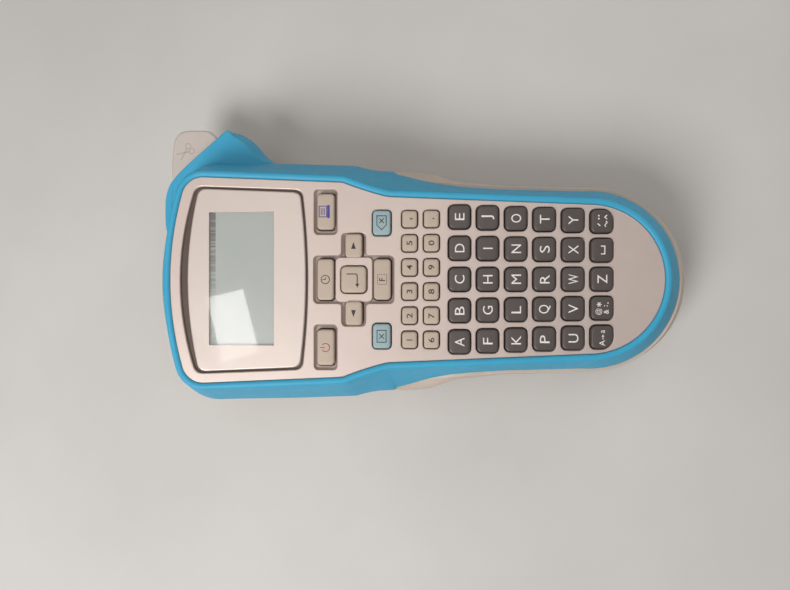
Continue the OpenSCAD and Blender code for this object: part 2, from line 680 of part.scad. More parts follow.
motor_r = 5.8;
motor_len = 14;
shaft_end = 2;
module drive_motor() {
    color(STEEL) place() difference() {
        rod(MOTOR, motor_r, chassis_low - motor_len, chassis_low);
        rod(MOTOR, shaft_r + running_gap, chassis_low - shaft_end - 0.2, chassis_low + 1);
    }
}

module reduction_gear() {
    color(WHITE) place() difference() {
        union() {
            gear(REDUCTION, big_teeth, 0, layer_a);
            rod(REDUCTION, pitch_r(small_teeth) - 1.15 * gear_m, layer_a, layer_b);
            gear(REDUCTION, small_teeth, small_phase, layer_b);
        }
        rod(REDUCTION, shaft_r + running_gap, layer_a - 1, layer_b + gear_w + 1);
    }
}

module idler_gear() {
    color(WHITE) place() difference() {
        gear(IDLER, idler_teeth, idler_phase, layer_b);
        rod(IDLER, shaft_r + running_gap, layer_b - 1, layer_b + gear_w + 1);
    }
}

roller_low = tape_mid - tape_w / 2 - 0.5;
roller_high = tape_mid + tape_w / 2 + 0.5;
module platen_gear() {
    color(WHITE) place() difference() {
        gear(PLATEN, platen_teeth, 0, layer_b);
        rod(PLATEN, shaft_r, layer_b - 1, layer_b + gear_w + 1);
    }
}
module platen_shaft() {
    color(STEEL) place() rod(PLATEN, shaft_r, roller_low - 1, layer_b + gear_w + 0.5);
}
module platen_roller() {
    color(BLACK) place() difference() {
        rod(PLATEN, platen_r, roller_low, roller_high);
        rod(PLATEN, shaft_r, roller_low - 1, roller_high + 1);
    }
}

spindle_r = 2.2;
module ribbon_spindle() {
    color(WHITE) place() union() {
        gear(RIBBON, ribbon_teeth, ribbon_phase, layer_b);
        rod(RIBBON, ribbon_shaft_r, cassette_top - 0.5, layer_b + 1);
        rod(RIBBON, spindle_r, cassette_low + 3, cassette_top - 0.2);
    }
}

plate_x = cover_w / 2 - 0.6;
plate_y = [6, head_y - 4];
motor_edge = MOTOR.x + 6.5;
CHASSIS = [
    [-plate_x, plate_y[0]], [plate_x, plate_y[0]], [plate_x, MOTOR.y - 7.5], [motor_edge, MOTOR.y - 7.5],
    [motor_edge, MOTOR.y + 7], [plate_x, MOTOR.y + 10], [plate_x, plate_y[1] - 2],
    [plate_x - 3.4, plate_y[1]], [3.4 - plate_x, plate_y[1]], [-plate_x, plate_y[1] - 2]
];
collar = 0.35;
cable_y = head_y - 9.8;
cable_x = [tape_x - 4.6, tape_x - 1.4];
cable_t = 0.3;
module print_chassis() {
    color(STEEL) place() difference() {
        union() {
            slab(CHASSIS, chassis_low, chassis_top);
            for (at = STANDOFFS) rod(at, standoff_r, chassis_top - 0.5, board_low);
            rod(REDUCTION, shaft_r, chassis_top - 0.5, layer_b + gear_w + 0.5);
            rod(IDLER, shaft_r, chassis_top - 0.5, layer_b + gear_w + 0.5);
            rod(IDLER, shaft_r + collar, chassis_top - 0.5, layer_b - 0.2);
            rod(REDUCTION, shaft_r + 2 * collar, chassis_top - 0.5, layer_a - 0.1);
        }
        rod(MOTOR, shaft_r + 1, chassis_low - 1, chassis_top + 1);
        rod(PLATEN, shaft_r + running_gap, chassis_low - 1, chassis_top + 1);
        rod(RIBBON, ribbon_shaft_r + running_gap, chassis_low - 1, chassis_top + 1);
        block([cable_x[0] - 0.5, cable_x[1] + 0.5], [cable_y - 0.5, cable_y + cable_t + 0.5], [chassis_low - 1, chassis_top + 1]);
    }
}

// ---------------------------------------------------------------- cassette

cassette_top = chassis_low - 0.7;
cassette_low = cassette_top - cassette_h;
cassette_wall = 1.2;
cassette_end = 5.85;
cassette_start = head_y - cassette_end - cassette_len;
notch_y = head_y - 31;
ROLL = [-11, head_y - 60.85];
SUPPLY = [-20, head_y - 25];
roll_r = 17.5;
supply_r = 7.5;
take_up_r = 6;
post_r = 2;
function cassette_outline(in) = [
    [-cassette_w / 2 - 3 + in, cassette_start + in], [cassette_w / 2 - 3 - in, cassette_start + in],
    [cassette_w / 2 - 3 - in, notch_y - 2 - in], [tape_x - 5.1 - in, notch_y - in],
    [tape_x - 5.1 - in, cassette_start + cassette_len - in],
    [-cassette_w / 2 - 3 + in, cassette_start + cassette_len - in]
];

module cassette_tray() {
    color(BLACK) place() difference() {
        union() {
            difference() {
                slab(cassette_outline(0), cassette_low, cassette_top - cassette_wall);
                slab(cassette_outline(cassette_wall), cassette_low + cassette_wall, cassette_top);
            }
            rod(ROLL, post_r, cassette_low + 1, cassette_top - cassette_wall);
            rod(SUPPLY, post_r, cassette_low + 1, cassette_top - cassette_wall);
        }
        rod(RIBBON, spindle_r + 1, cassette_low - 1, cassette_low + 2);
    }
}
module cassette_lid() {
    color([0.3, 0.3, 0.32]) place() difference() {
        slab(cassette_outline(0), cassette_top - cassette_wall, cassette_top);
        rod(RIBBON, spindle_r + 0.6, cassette_top - 3, cassette_top + 1);
    }
}
module spool(at, r, bore) {
    difference() {
        rod(at, r, cassette_low + cassette_wall + 0.3, cassette_top - cassette_wall - 0.3);
        rod(at, bore, cassette_low, cassette_top);
    }
}
module tape_roll() { color(WHITE) place() spool(ROLL, roll_r, post_r + running_gap); }
module ribbon_supply_spool() { color(BLACK) place() spool(SUPPLY, supply_r, post_r + running_gap); }
module ribbon_take_up_spool() { color(BLACK) place() spool(RIBBON, take_up_r, spindle_r + running_gap); }

// The tape ends where the closed blade stops
tape_end = head_y - 4.3;
module label_tape() {
    color(WHITE) place()
        block([tape_x - tape_t / 2, tape_x + tape_t / 2], [notch_y + 0.2, tape_end],
            [tape_mid - tape_w / 2, tape_mid + tape_w / 2]);
}

head_t = 1;
sink_t = 2.2;
head_face = tape_x - tape_t / 2 - tape_gap;
module print_head() {
    color([0.85, 0.8, 0.7]) place()
        block([head_face - head_t, head_face], [PLATEN.y - 6, PLATEN.y + 6], [roller_low - 0.5, roller_high + 0.5]);
}
module head_heat_sink() {
    color(STEEL) place()
        block([head_face - head_t - sink_t, head_face - head_t], [PLATEN.y - 7.5, PLATEN.y + 7.5],
            [roller_low - 0.5, chassis_low]);
}
module head_cable() {
    color([0.75, 0.5, 0.2]) place()
        block(cable_x, [cable_y, cable_y + cable_t], [tape_mid, board_low - 0.05]);
}

// ---------------------------------------------------------------- cutter

blade_t = 0.6;
blade_y = head_y + 0.6;
module cutter_lever() {
    color(BEIGE) place() difference() {
        union() {
            slab(LEVER, lever_low, lever_top);
            rod(PIVOT, pin_r + 2.4, lever_low, lever_top);
        }
        rod(PIVOT, pin_r + running_gap, lever_low - 1, lever_top + 1);
    }
}
module cutter_blade() {
    color(STEEL) place()
        block([arm_x - 0.3, arm_x + 5.2], [blade_y, blade_y + blade_t], [tape_mid - tape_w / 2 - 1, lever_low]);
}
module cutter_pin() {
    color(STEEL) place() rod(PIVOT, pin_r, shelf_top - shelf_t, hood_low + 3.3);
}
module cutter_spring() {
    color(STEEL) place() translate([cx - 0.3, cy - 7.6, (lever_low + lever_top) / 2]) rotate([0, -90, 0])
        coil(1.5, spring_wire, 3.4, 4);
}
module cutter_anvil() {
    color(STEEL) place()
        block([tape_x - 4.2, tape_x - 2.4], [head_y - 7.8, head_y + 0.2], [tape_mid - tape_w / 2 - 1, chassis_low]);
}

module case_screws() {
    color(STEEL) place() for (at = SCREWS) union() {
        rod(at, screw_head_r, floor_z(at.y) + sink_depth - screw_head_t, floor_z(at.y) + sink_depth);
        rod(at, screw_r, floor_z(at.y) + sink_depth - 0.5, upper_boss_top(at) - 2.5);
    }
}

upper_case();
lower_case();
rear_cover();
front_panel();
display_window();
lcd_module();
lcd_cable();
keypad_mat();
main_board();
board_components();
power_key();
print_key();
clock_key();
left_key();
right_key();
enter_key();
function_key();
clear_key();
backspace_key();
digit_row(0);  // digit_keys_row_1
digit_row(1);  // digit_keys_row_2
letter_row(0);  // letter_keys_row_1
letter_row(1);  // letter_keys_row_2
letter_row(2);  // letter_keys_row_3
letter_row(3);  // letter_keys_row_4
letter_row(4);  // letter_keys_row_5
caps_key();
symbol_key();
z_key();
space_key();
accent_key();
battery_tray();
battery_cells();
battery_contacts();
battery_springs();
adapter_socket();
print_chassis();
drive_motor();
motor_pinion();
reduction_gear();
idler_gear();
platen_gear();
platen_shaft();
platen_roller();
ribbon_spindle();
ribbon_take_up_spool();
ribbon_supply_spool();
tape_roll();
cassette_tray();
cassette_lid();
label_tape();
print_head();
head_heat_sink();
head_cable();
cutter_lever();
cutter_blade();
cutter_pin();
cutter_spring();
cutter_anvil();
case_screws();
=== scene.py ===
"""Looks of the handheld label maker: shells, face, keys, display, cutter and their materials.

All shapes are drawn in millimetres in the face frame, whose z = 0 is the front panel's plane,
and to_row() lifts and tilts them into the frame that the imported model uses.
"""

import json
import math

import bmesh
import bpy
import numpy as np
from mathutils import Matrix, Vector
from mathutils.geometry import delaunay_2d_cdt


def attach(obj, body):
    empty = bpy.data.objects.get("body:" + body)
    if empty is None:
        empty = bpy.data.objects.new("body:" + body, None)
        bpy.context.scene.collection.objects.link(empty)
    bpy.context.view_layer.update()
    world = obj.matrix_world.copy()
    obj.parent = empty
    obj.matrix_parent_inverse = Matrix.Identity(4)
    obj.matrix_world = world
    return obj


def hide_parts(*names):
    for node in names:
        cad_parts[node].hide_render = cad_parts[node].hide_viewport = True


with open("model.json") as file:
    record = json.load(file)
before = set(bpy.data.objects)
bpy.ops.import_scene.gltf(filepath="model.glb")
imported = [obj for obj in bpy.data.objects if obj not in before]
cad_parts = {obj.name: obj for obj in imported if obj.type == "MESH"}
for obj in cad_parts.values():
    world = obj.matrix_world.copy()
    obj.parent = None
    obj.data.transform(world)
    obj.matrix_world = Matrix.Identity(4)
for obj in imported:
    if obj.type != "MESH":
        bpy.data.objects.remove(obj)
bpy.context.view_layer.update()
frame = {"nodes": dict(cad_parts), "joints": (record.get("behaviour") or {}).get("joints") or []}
nodes = frame["nodes"]

# ---- face frame

press = next(j for j in frame["joints"] if j["name"] == "power_press")
normal = -np.array(press["axis"], float)
C, S = normal[2], -normal[1]  # cosine and sine of the face's tilt
TURN = np.array([[1, 0, 0], [0, C, -S], [0, S, C]])


def points_of(node):
    return np.array([v.co for v in nodes[node].data.vertices], float)


FACE_Z = float((points_of("front_panel") @ normal).max()) / C


def to_row(p):
    """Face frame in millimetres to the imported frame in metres."""
    return (np.asarray(p, float) * 0.001) @ TURN.T + [0, 0, FACE_Z]


def to_face(p):
    """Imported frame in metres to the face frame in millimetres."""
    return (np.asarray(p, float) - [0, 0, FACE_Z]) @ TURN * 1000


def face_box(node):
    q = to_face(points_of(node))
    return q.min(0), q.max(0)


def mix(a, b, t):
    return a + (b - a) * t


def smooth(t):
    c = np.clip(t, 0, 1)
    return c * c * (3 - 2 * c)


# ---- mesh helpers


def new_object(name, verts, faces):
    mesh = bpy.data.meshes.new(name)
    mesh.from_pydata([tuple(p) for p in to_row(verts)], [], [list(map(int, f)) for f in faces])
    bm = bmesh.new()
    bm.from_mesh(mesh)
    bmesh.ops.remove_doubles(bm, verts=bm.verts, dist=2e-6)
    bmesh.ops.recalc_face_normals(bm, faces=bm.faces)
    bm.to_mesh(mesh)
    bm.free()
    obj = bpy.data.objects.new(name, mesh)
    bpy.context.scene.collection.objects.link(obj)
    return obj


def finish_piece(obj, material, body, slot, replaced=(), angle=38):
    """Material, shading and frame: faces level with the panel stay flat."""
    obj.data.materials.clear()
    obj.data.materials.append(material)
    obj.data.shade_smooth()
    obj.data.set_sharp_from_angle(angle=math.radians(angle))
    across = np.empty(len(obj.data.polygons) * 3)
    obj.data.polygons.foreach_get("normal", across)
    level_face = np.abs(across.reshape(-1, 3) @ TURN[:, 2]) > 0.99995
    obj.data.polygons.foreach_set("use_smooth", ~level_face)
    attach(obj, body)
    if replaced:
        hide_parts(*replaced)
    return obj


def piece(name, shape, *finish):
    """A new piece: its points and faces, then what finish_piece() takes."""
    return finish_piece(new_object(name, *shape), *finish)


def merged(parts):
    """Several bodies' points and faces as one."""
    verts, faces, base = [], [], 0
    for v, f in parts:
        v = np.asarray(v, float)
        verts.append(v)
        faces += [[base + i for i in face] for face in f]
        base += len(v)
    return np.vstack(verts), faces


def chaikin(points, rounds, closed):
    """Corner cutting: a smooth curve or surface from its control points."""
    p = np.asarray(points, float)
    for _ in range(rounds):
        q = np.roll(p, -1, axis=0) if closed else p[1:]
        a = p if closed else p[:-1]
        cut = np.stack([0.75 * a + 0.25 * q, 0.25 * a + 0.75 * q], axis=1)
        cut = cut.reshape(-1, *p.shape[1:])
        p = cut if closed else np.concatenate([p[:1], cut, p[-1:]])
    return p


def loft(rings, closed=False):
    """Faces between closed rings of equal length."""
    rings = np.asarray(rings, float)
    count, n = rings.shape[:2]
    faces = []
    for k in range(count if closed else count - 1):
        a, b = k * n, (k + 1) % count * n
        for i in range(n):
            j = (i + 1) % n
            faces.append([a + i, a + j, b + j, b + i])
    return rings.reshape(-1, 3), faces


def cap(rings, index):
    """The face over one ring of a loft."""
    n = np.shape(rings)[1]
    return [index * n + i for i in range(n)]


def capped(rings):
    """A loft closed at both ends."""
    verts, faces = loft(rings)
    return verts, faces + [cap(rings, 0), cap(rings, len(rings) - 1)]


def level(loop, z):
    """A loop's points at one height."""
    loop = np.asarray(loop, float)
    return np.column_stack([loop[:, :2], np.full(len(loop), z)])


def inside(points, loop):
    """Which points lie inside a loop."""
    x, y = points[:, 0], points[:, 1]
    hit = np.zeros(len(points), bool)
    for (x0, y0), (x1, y1) in zip(loop[:, :2], np.roll(loop, -1, axis=0)[:, :2]):
        if y0 == y1:
            continue
        cross = (y0 > y) != (y1 > y)
        hit ^= cross & (x < (x1 - x0) * (y - y0) / (y1 - y0) + x0)
    return hit


def fill(loops, holes, extra=()):
    """Triangles between outer loops and holes, as flat points and faces."""
    flat, edges = [], []
    for loop in [*loops, *holes]:
        base, n = len(flat), len(loop)
        flat += [Vector((float(p[0]), float(p[1]))) for p in loop]
        edges += [(base + i, base + (i + 1) % n) for i in range(n)]
    flat += [Vector((float(x), float(y))) for x, y in extra]
    verts, _, faces, *_ = delaunay_2d_cdt(flat, edges, [], 0, 1e-5)
    verts = np.array(verts, float)
    middle = np.array([verts[list(f)].mean(0) for f in faces])
    keep = np.zeros(len(faces), bool)
    for loop in loops:
        keep |= inside(middle, np.asarray(loop, float))
    for hole in holes:
        keep &= ~inside(middle, np.asarray(hole, float))
    return verts, [list(f) for f, k in zip(faces, keep) if k]


def flat_fill(loops, holes, z):
    verts, faces = fill(loops, holes)
    return level(verts, z), faces


def raised(flat, faces, low, high):
    """Flat faces lifted to a height, with walls from their edges down to a lower one."""
    n = len(flat)
    ways = {(a, b) for f in faces for a, b in zip(f, [*f[1:], f[0]])}
    walls = [[a, b, n + b, n + a] for a, b in ways if (b, a) not in ways]
    return np.vstack([level(flat, high), level(flat, low)]), faces + sorted(walls)


def rounded(w, d, radii, steps=7):
    """Rectangle about the origin with four corner radii, from +X +Y round to +X -Y."""
    out = []
    for c, (sx, sy) in enumerate([(1, 1), (-1, 1), (-1, -1), (1, -1)]):
        r = radii[c]
        for k in range(steps + 1):
            a = math.radians(90 * c + 90 * k / steps)
            out.append([sx * (w / 2 - r) + r * math.cos(a), sy * (d / 2 - r) + r * math.sin(a)])
    return np.array(out)


def fillet(corners, steps=6):
    """Closed outline with an arc of the given radius at each corner (x, y, radius)."""
    out, n = [], len(corners)
    for i, (x, y, r) in enumerate(corners):
        p = np.array([x, y], float)
        a = np.array(corners[i - 1][:2], float) - p
        b = np.array(corners[(i + 1) % n][:2], float) - p
        a, b = a / np.linalg.norm(a), b / np.linalg.norm(b)
        half = math.acos(np.clip(a @ b, -1, 1)) / 2
        reach = r / math.tan(half)
        s, e = p + a * reach, p + b * reach
        for k in range(steps + 1):
            t = k / steps
            out.append((1 - t) ** 2 * s + 2 * t * (1 - t) * p + t * t * e)
    return np.array(out)


QUARTER_TURN = np.linspace(0, math.pi / 2, 4)


def strips(loops, heights):
    """A smooth band through loops of equal length at their heights."""
    return loft([level(p, z) for p, z in zip(loops, heights)])


def ribbon(line, width, closed=False):
    """A flat line of even width along points, with mitred corners."""
    p = np.asarray(line, float)
    n = len(p)
    before = np.roll(p, 1, axis=0) if closed else np.vstack([2 * p[0] - p[1], p[:-1]])
    after = np.roll(p, -1, axis=0) if closed else np.vstack([p[1:], 2 * p[-1] - p[-2]])
    d0 = (p - before) / np.linalg.norm(p - before, axis=1)[:, None]
    d1 = (after - p) / np.linalg.norm(after - p, axis=1)[:, None]
    n0, n1 = d0[:, ::-1] * [-1, 1], d1[:, ::-1] * [-1, 1]
    m = n0 + n1
    m /= np.maximum((m * n0).sum(1), 0.35)[:, None]
    verts = np.vstack([p + m * width / 2, p - m * width / 2])
    faces = [[i, (i + 1) % n, n + (i + 1) % n, n + i] for i in range(n if closed else n - 1)]
    return verts, faces


def circle(r, start=0, end=360, steps=28, at=(0, 0)):
    turn = np.radians(np.linspace(start, end, steps + 1))
    if end - start == 360:
        turn = turn[:-1]
    return np.column_stack([at[0] + r * np.cos(turn), at[1] + r * np.sin(turn)])


def glyph(text, size, bold=0.0, at=(0, 0), width=None):
    """Flat letters centred on a point, stretched to a width where one is given."""
    curve = bpy.data.curves.new("glyph", "FONT")
    curve.body, curve.size, curve.resolution_u = text, size, 4
    curve.offset = bold
    holder = bpy.data.objects.new("glyph", curve)
    bpy.context.scene.collection.objects.link(holder)
    mesh = bpy.data.meshes.new_from_object(holder)
    verts = np.array([v.co[:2] for v in mesh.vertices], float)
    faces = [list(f.vertices) for f in mesh.polygons]
    bpy.data.objects.remove(holder)
    bpy.data.meshes.remove(mesh)
    bpy.data.curves.remove(curve)
    verts -= (verts.min(0) + verts.max(0)) / 2
    if width:
        verts[:, 0] *= min(width / (2 * verts[:, 0].max()), 1.3)
    return verts + at, faces


# ---- materials


class Nodes:
    """Short way to wire a material's nodes."""

    def __init__(self, name):
        self.material = bpy.data.materials.new(name)
        self.material.use_nodes = True
        self.tree = self.material.node_tree
        self.shader = self.tree.nodes["Principled BSDF"]
        place = self.add("ShaderNodeTexCoord", {}).outputs["Object"]
        scaled = {0: place, "Scale": 1000}
        self.mm = self.add("ShaderNodeVectorMath", scaled, operation="SCALE").outputs[0]

    def link(self, a, b):
        self.tree.links.new(a, b)

    def feed(self, socket, value):
        """A link, a colour or a number into a socket."""
        if isinstance(value, bpy.types.NodeSocket):
            self.link(value, socket)
        else:
            socket.default_value = (*value, 1) if socket.type == "RGBA" else value

    def add(self, kind, sockets, **values):
        node = self.tree.nodes.new(kind)
        for key, value in values.items():
            setattr(node, key, value)
        for key, value in sockets.items():
            self.feed(node.inputs[key], value)
        return node

    def stretch(self, x, y, z):
        sockets = {0: self.mm, 1: (x, y, z)}
        return self.add("ShaderNodeVectorMath", sockets, operation="MULTIPLY").outputs[0]

    def noise(self, scale, detail=3.0, rough=0.55, vector=None):
        at = vector or self.mm
        sockets = {"Scale": scale, "Detail": detail, "Roughness": rough, "Vector": at}
        return self.add("ShaderNodeTexNoise", sockets).outputs["Fac"]

    def ramp(self, value, stops):
        node = self.add("ShaderNodeValToRGB", {"Fac": value})
        band = node.color_ramp
        while len(band.elements) < len(stops):
            band.elements.new(0.5)
        for element, (at, color) in zip(band.elements, stops):
            element.position, element.color = at, (*color, 1)
        return node.outputs["Color"]

    def tint(self, value, color, low, high, at=(0.3, 0.7)):
        """A colour, from darker to lighter, as a value goes from one place to another."""
        return self.ramp(value, [(at[0], shade(color, low)), (at[1], shade(color, high))])

    def span(self, value, low, high, at=(0.3, 0.7)):
        ends = {"From Min": at[0], "From Max": at[1], "To Min": low, "To Max": high}
        return self.add("ShaderNodeMapRange", {"Value": value} | ends).outputs["Result"]

    def maths(self, operation, a, b):
        return self.add("ShaderNodeMath", {0: a, 1: b}, operation=operation).outputs[0]

    def blend(self, fac, a, b):
        return self.add("ShaderNodeMix", {0: fac, 6: a, 7: b}, data_type="RGBA").outputs[2]

    def bump(self, height, distance):
        sockets = {"Strength": 1.0, "Distance": distance * 0.001, "Height": height}
        return self.add("ShaderNodeBump", sockets).outputs["Normal"]

    def set(self, **values):
        for key, value in values.items():
            self.feed(self.shader.inputs[key.replace("_", " ")], value)
        return self.material


def shade(color, k):
    return tuple(min(1.0, c * k) for c in color)


def moulded(name, color, rough, texture, grain, variation, coat=0.0, specular=0.5):
    """Moulded plastic: faint flow clouds, fine spark-eroded texture and uneven sheen."""
    m = Nodes(name)
    fine = m.noise(grain, 2, 0.6)
    base = m.tint(m.noise(0.06, 4), color, 1 - variation, 1 + variation)
    base = m.blend(m.span(fine, 0, 0.10), base, shade(color, 0.8))
    return m.set(
        Base_Color=base,
        Roughness=m.span(m.noise(0.35, 4), rough - 0.05, rough + 0.06),
        Normal=m.bump(fine, texture),
        Coat_Weight=coat,
        Coat_Roughness=0.2,
        Specular_IOR_Level=specular,
    )


def metallic_paint(name, color, rough, coat=0.0):
    """Satin silver paint on plastic: fine flake sparkle, slow clouds and an uneven sheen."""
    m = Nodes(name)
    flake = m.noise(9, 2, 0.7)
    base = m.tint(m.noise(0.05, 3), color, 0.97, 1.03)
    base = m.blend(m.span(flake, 0, 0.5), base, shade(color, 0.9))
    return m.set(
        Base_Color=base,
        Metallic=0.35,
        Roughness=m.span(m.noise(0.4, 4), rough - 0.04, rough + 0.06),
        Normal=m.bump(flake, 0.004),
        Specular_IOR_Level=0.5,
        Coat_Weight=coat,
        Coat_Roughness=0.03,
    )


def metal(name, color, rough, stretch=(0.15, 6, 1)):
    """Rolled or ground metal: fine lines one way, smudges, slight tint."""
    m = Nodes(name)
    lines = m.noise(1.0, 4, 0.6, m.stretch(*stretch))
    base = m.tint(m.noise(0.2, 4), color, 0.86, 1.06, (0.25, 0.75))
    return m.set(
        Base_Color=base,
        Metallic=1.0,
        Roughness=m.span(lines, rough - 0.08, rough + 0.12),
        Normal=m.bump(lines, 0.01),
    )


def rubber(name, color):
    m = Nodes(name)
    fine = m.noise(3.5, 3, 0.7)
    base = m.tint(m.noise(0.2, 4), color, 0.8, 1.25)
    return m.set(
        Base_Color=base,
        Roughness=m.span(fine, 0.68, 0.88),
        Normal=m.bump(fine, 0.04),
        Specular_IOR_Level=0.35,
    )


def circuit(name):
    """Solder mask with copper tracks, pads and a fibre weave beneath."""
    m = Nodes(name)
    boards = {"Color1": (0.012, 0.10, 0.035), "Color2": (0.016, 0.13, 0.045)}
    lines = {"Mortar": (0.03, 0.24, 0.075), "Mortar Size": 0.05, "Scale": 0.32, "Vector": m.mm}
    track = m.add("ShaderNodeTexBrick", boards | lines)
    pads = m.add("ShaderNodeTexVoronoi", {"Scale": 0.28, "Vector": m.mm})
    near = m.maths("LESS_THAN", pads.outputs["Distance"], 0.14)
    base = m.blend(near, track.outputs["Color"], (0.55, 0.5, 0.42))
    weave = m.noise(4, 2)
    height = m.maths("ADD", track.outputs["Fac"], m.maths("MULTIPLY", weave, 0.3))
    return m.set(
        Base_Color=base,
        Roughness=m.span(weave, 0.22, 0.4),
        Normal=m.bump(height, 0.03),
        Coat_Weight=0.3,
    )


def film(name, color, rough=0.16):
    """Thin flexible film with faint lines under its surface."""
    m = Nodes(name)
    wave = m.add("ShaderNodeTexWave", {"Scale": 0.5, "Vector": m.mm})
    base = m.tint(wave.outputs["Fac"], color, 0.7, 1.15, (0.35, 0.65))
    sheen = m.span(m.noise(0.6), rough, rough + 0.15)
    return m.set(Base_Color=base, Roughness=sheen, Coat_Weight=0.5)


def sleeve(name, color):
    """Printed cell sleeve: uneven dark print under a glossy wrap."""
    m = Nodes(name)
    base = m.tint(m.noise(0.25, 3), color, 0.75, 1.2, (0.35, 0.65))
    return m.set(
        Base_Color=base,
        Roughness=m.span(m.noise(0.8), 0.2, 0.32),
        Normal=m.bump(m.noise(0.9, 4), 0.03),
        Coat_Weight=0.6,
    )


def ink(name, color):
    """Printed legend with a slightly uneven density."""
    m = Nodes(name)
    base = m.tint(m.noise(1.6, 3), color, 0.88, 1.08)
    return m.set(Base_Color=base, Roughness=m.span(m.noise(2), 0.44, 0.58))


def display_material(low, high):
    """Reflective display: grey-green field made lighter towards -X as a painted reflection, faint
    dot grid, and a streaked bar at its head side.
    """
    bar_depth = 2.1
    m = Nodes("display_field")
    face = m.add("ShaderNodeSeparateXYZ", {0: m.mm})
    across = m.span(face.outputs[0], 0, 1, (low[0], high[0]))
    along = m.span(face.outputs[1], 0, 1, (low[1], high[1]))
    # Painted reflection: the field is lighter on its -X side, where the window light would be
    # reflected.
    painted_reflection_tones = [(0.0, (0.52, 0.53, 0.53)), (0.5, (0.42, 0.445, 0.43)), (1.0, (0.38, 0.415, 0.395))]
    field = m.ramp(across, painted_reflection_tones)
    cloud = m.noise(0.12, 4)
    field = m.blend(m.span(cloud, 0.0, 0.25), field, (0.30, 0.36, 0.35))
    scratches = m.noise(1.0, 3, 0.6, m.stretch(2.2, 0.05, 1))
    field = m.blend(m.span(scratches, 0, 0.35, (0.6, 0.8)), field, (0.55, 0.58, 0.55))
    streaks = m.span(m.noise(1.0, 2, 0.5, m.stretch(1.9, 0.02, 0.02)), 0, 1, (0.42, 0.52))
    # Painted reflection: the dark bar fades towards -X, where the window light would wash it out,
    # and is darkest at its +X end.
    streaks = m.maths("ADD", streaks, m.span(across, 0, 0.6, (0.7, 1)))
    reflection_wash = m.span(across, 0.25, 1.0, (0.25, 0.8))
    dark = m.maths("MULTIPLY", m.span(streaks, 0.3, 1, (0, 1)), reflection_wash)
    in_bar = m.maths("GREATER_THAN", along, 1 - bar_depth / (high[1] - low[1]))
    field = m.blend(m.maths("MULTIPLY", in_bar, dark), field, (0.035, 0.035, 0.04))
    dots = m.add("ShaderNodeTexChecker", {"Scale": 2.4, "Vector": m.mm})
    field = m.blend(m.maths("MULTIPLY", dots.outputs["Fac"], 0.03), field, (0.2, 0.24, 0.22))
    return m.set(Base_Color=field, Roughness=m.span(cloud, 0.3, 0.42), Specular_IOR_Level=0.4)


def pane_material():
    """Clear cover: a mirror-like sheen over what lies beneath."""
    m = Nodes("clear_cover")
    m.tree.nodes.remove(m.shader)
    clear = m.add("ShaderNodeBsdfTransparent", {"Color": (0.97, 0.98, 0.98)})
    sheen = m.span(m.noise(0.5, 4), 0.015, 0.05)
    gloss = m.add("ShaderNodeBsdfGlossy", {"Roughness": sheen})
    layers = {0: 0.07, 1: clear.outputs[0], 2: gloss.outputs[0]}
    both = m.add("ShaderNodeMixShader", layers)
    m.link(both.outputs[0], m.tree.nodes["Material Output"].inputs["Surface"])
    return m.material


BLUE = moulded("blue_shell_plastic", (0.050, 0.375, 0.600), 0.48, 0.010, 3.0, 0.04, specular=0.3)
BEIGE = moulded("beige_shell_plastic", (0.58, 0.49, 0.42), 0.48, 0.03, 1.6, 0.04)
LEVER_SKIN = moulded("lever_plastic", (0.56, 0.50, 0.46), 0.45, 0.02, 1.8, 0.04)
SILVER = metallic_paint("silver_paint", (0.62, 0.525, 0.49), 0.42)
MASK = metallic_paint("lens_mask_paint", (0.61, 0.53, 0.495), 0.40, coat=0.8)
# Painted shade: a darker copy of the silver paint for the sunk fields' slopes and floors, standing
# in for the shade that falls there.
SHADED_RECESS_PAINT = metallic_paint("recess_painted_shade", (0.36, 0.295, 0.265), 0.5)
# Painted shadow: near-black brown for the groove floor beside the lens, which looks dark only from
# the shade in it.
GROOVE_SHADOW = moulded("groove_shadow_plastic", (0.085, 0.055, 0.045), 0.55, 0.02, 2.0, 0.1)
LIGHT_KEY = moulded("light_key_plastic", (0.50, 0.41, 0.335), 0.44, 0.012, 3.0, 0.04)
DARK_KEY = moulded("dark_key_plastic", (0.085, 0.070, 0.066), 0.40, 0.012, 3.0, 0.06)
BLUE_KEY = moulded("blue_key_plastic", (0.30, 0.42, 0.45), 0.42, 0.012, 3.0, 0.05)
WHITE_INK = ink("white_legend_ink", (0.80, 0.78, 0.76))
DARK_INK = ink("dark_legend_ink", (0.030, 0.024, 0.024))
RED_INK = ink("red_legend_ink", (0.36, 0.06, 0.05))
BLUE_INK = ink("blue_legend_ink", (0.055, 0.05, 0.28))
ICON_INK = ink("lever_icon_ink", (0.40, 0.355, 0.33))

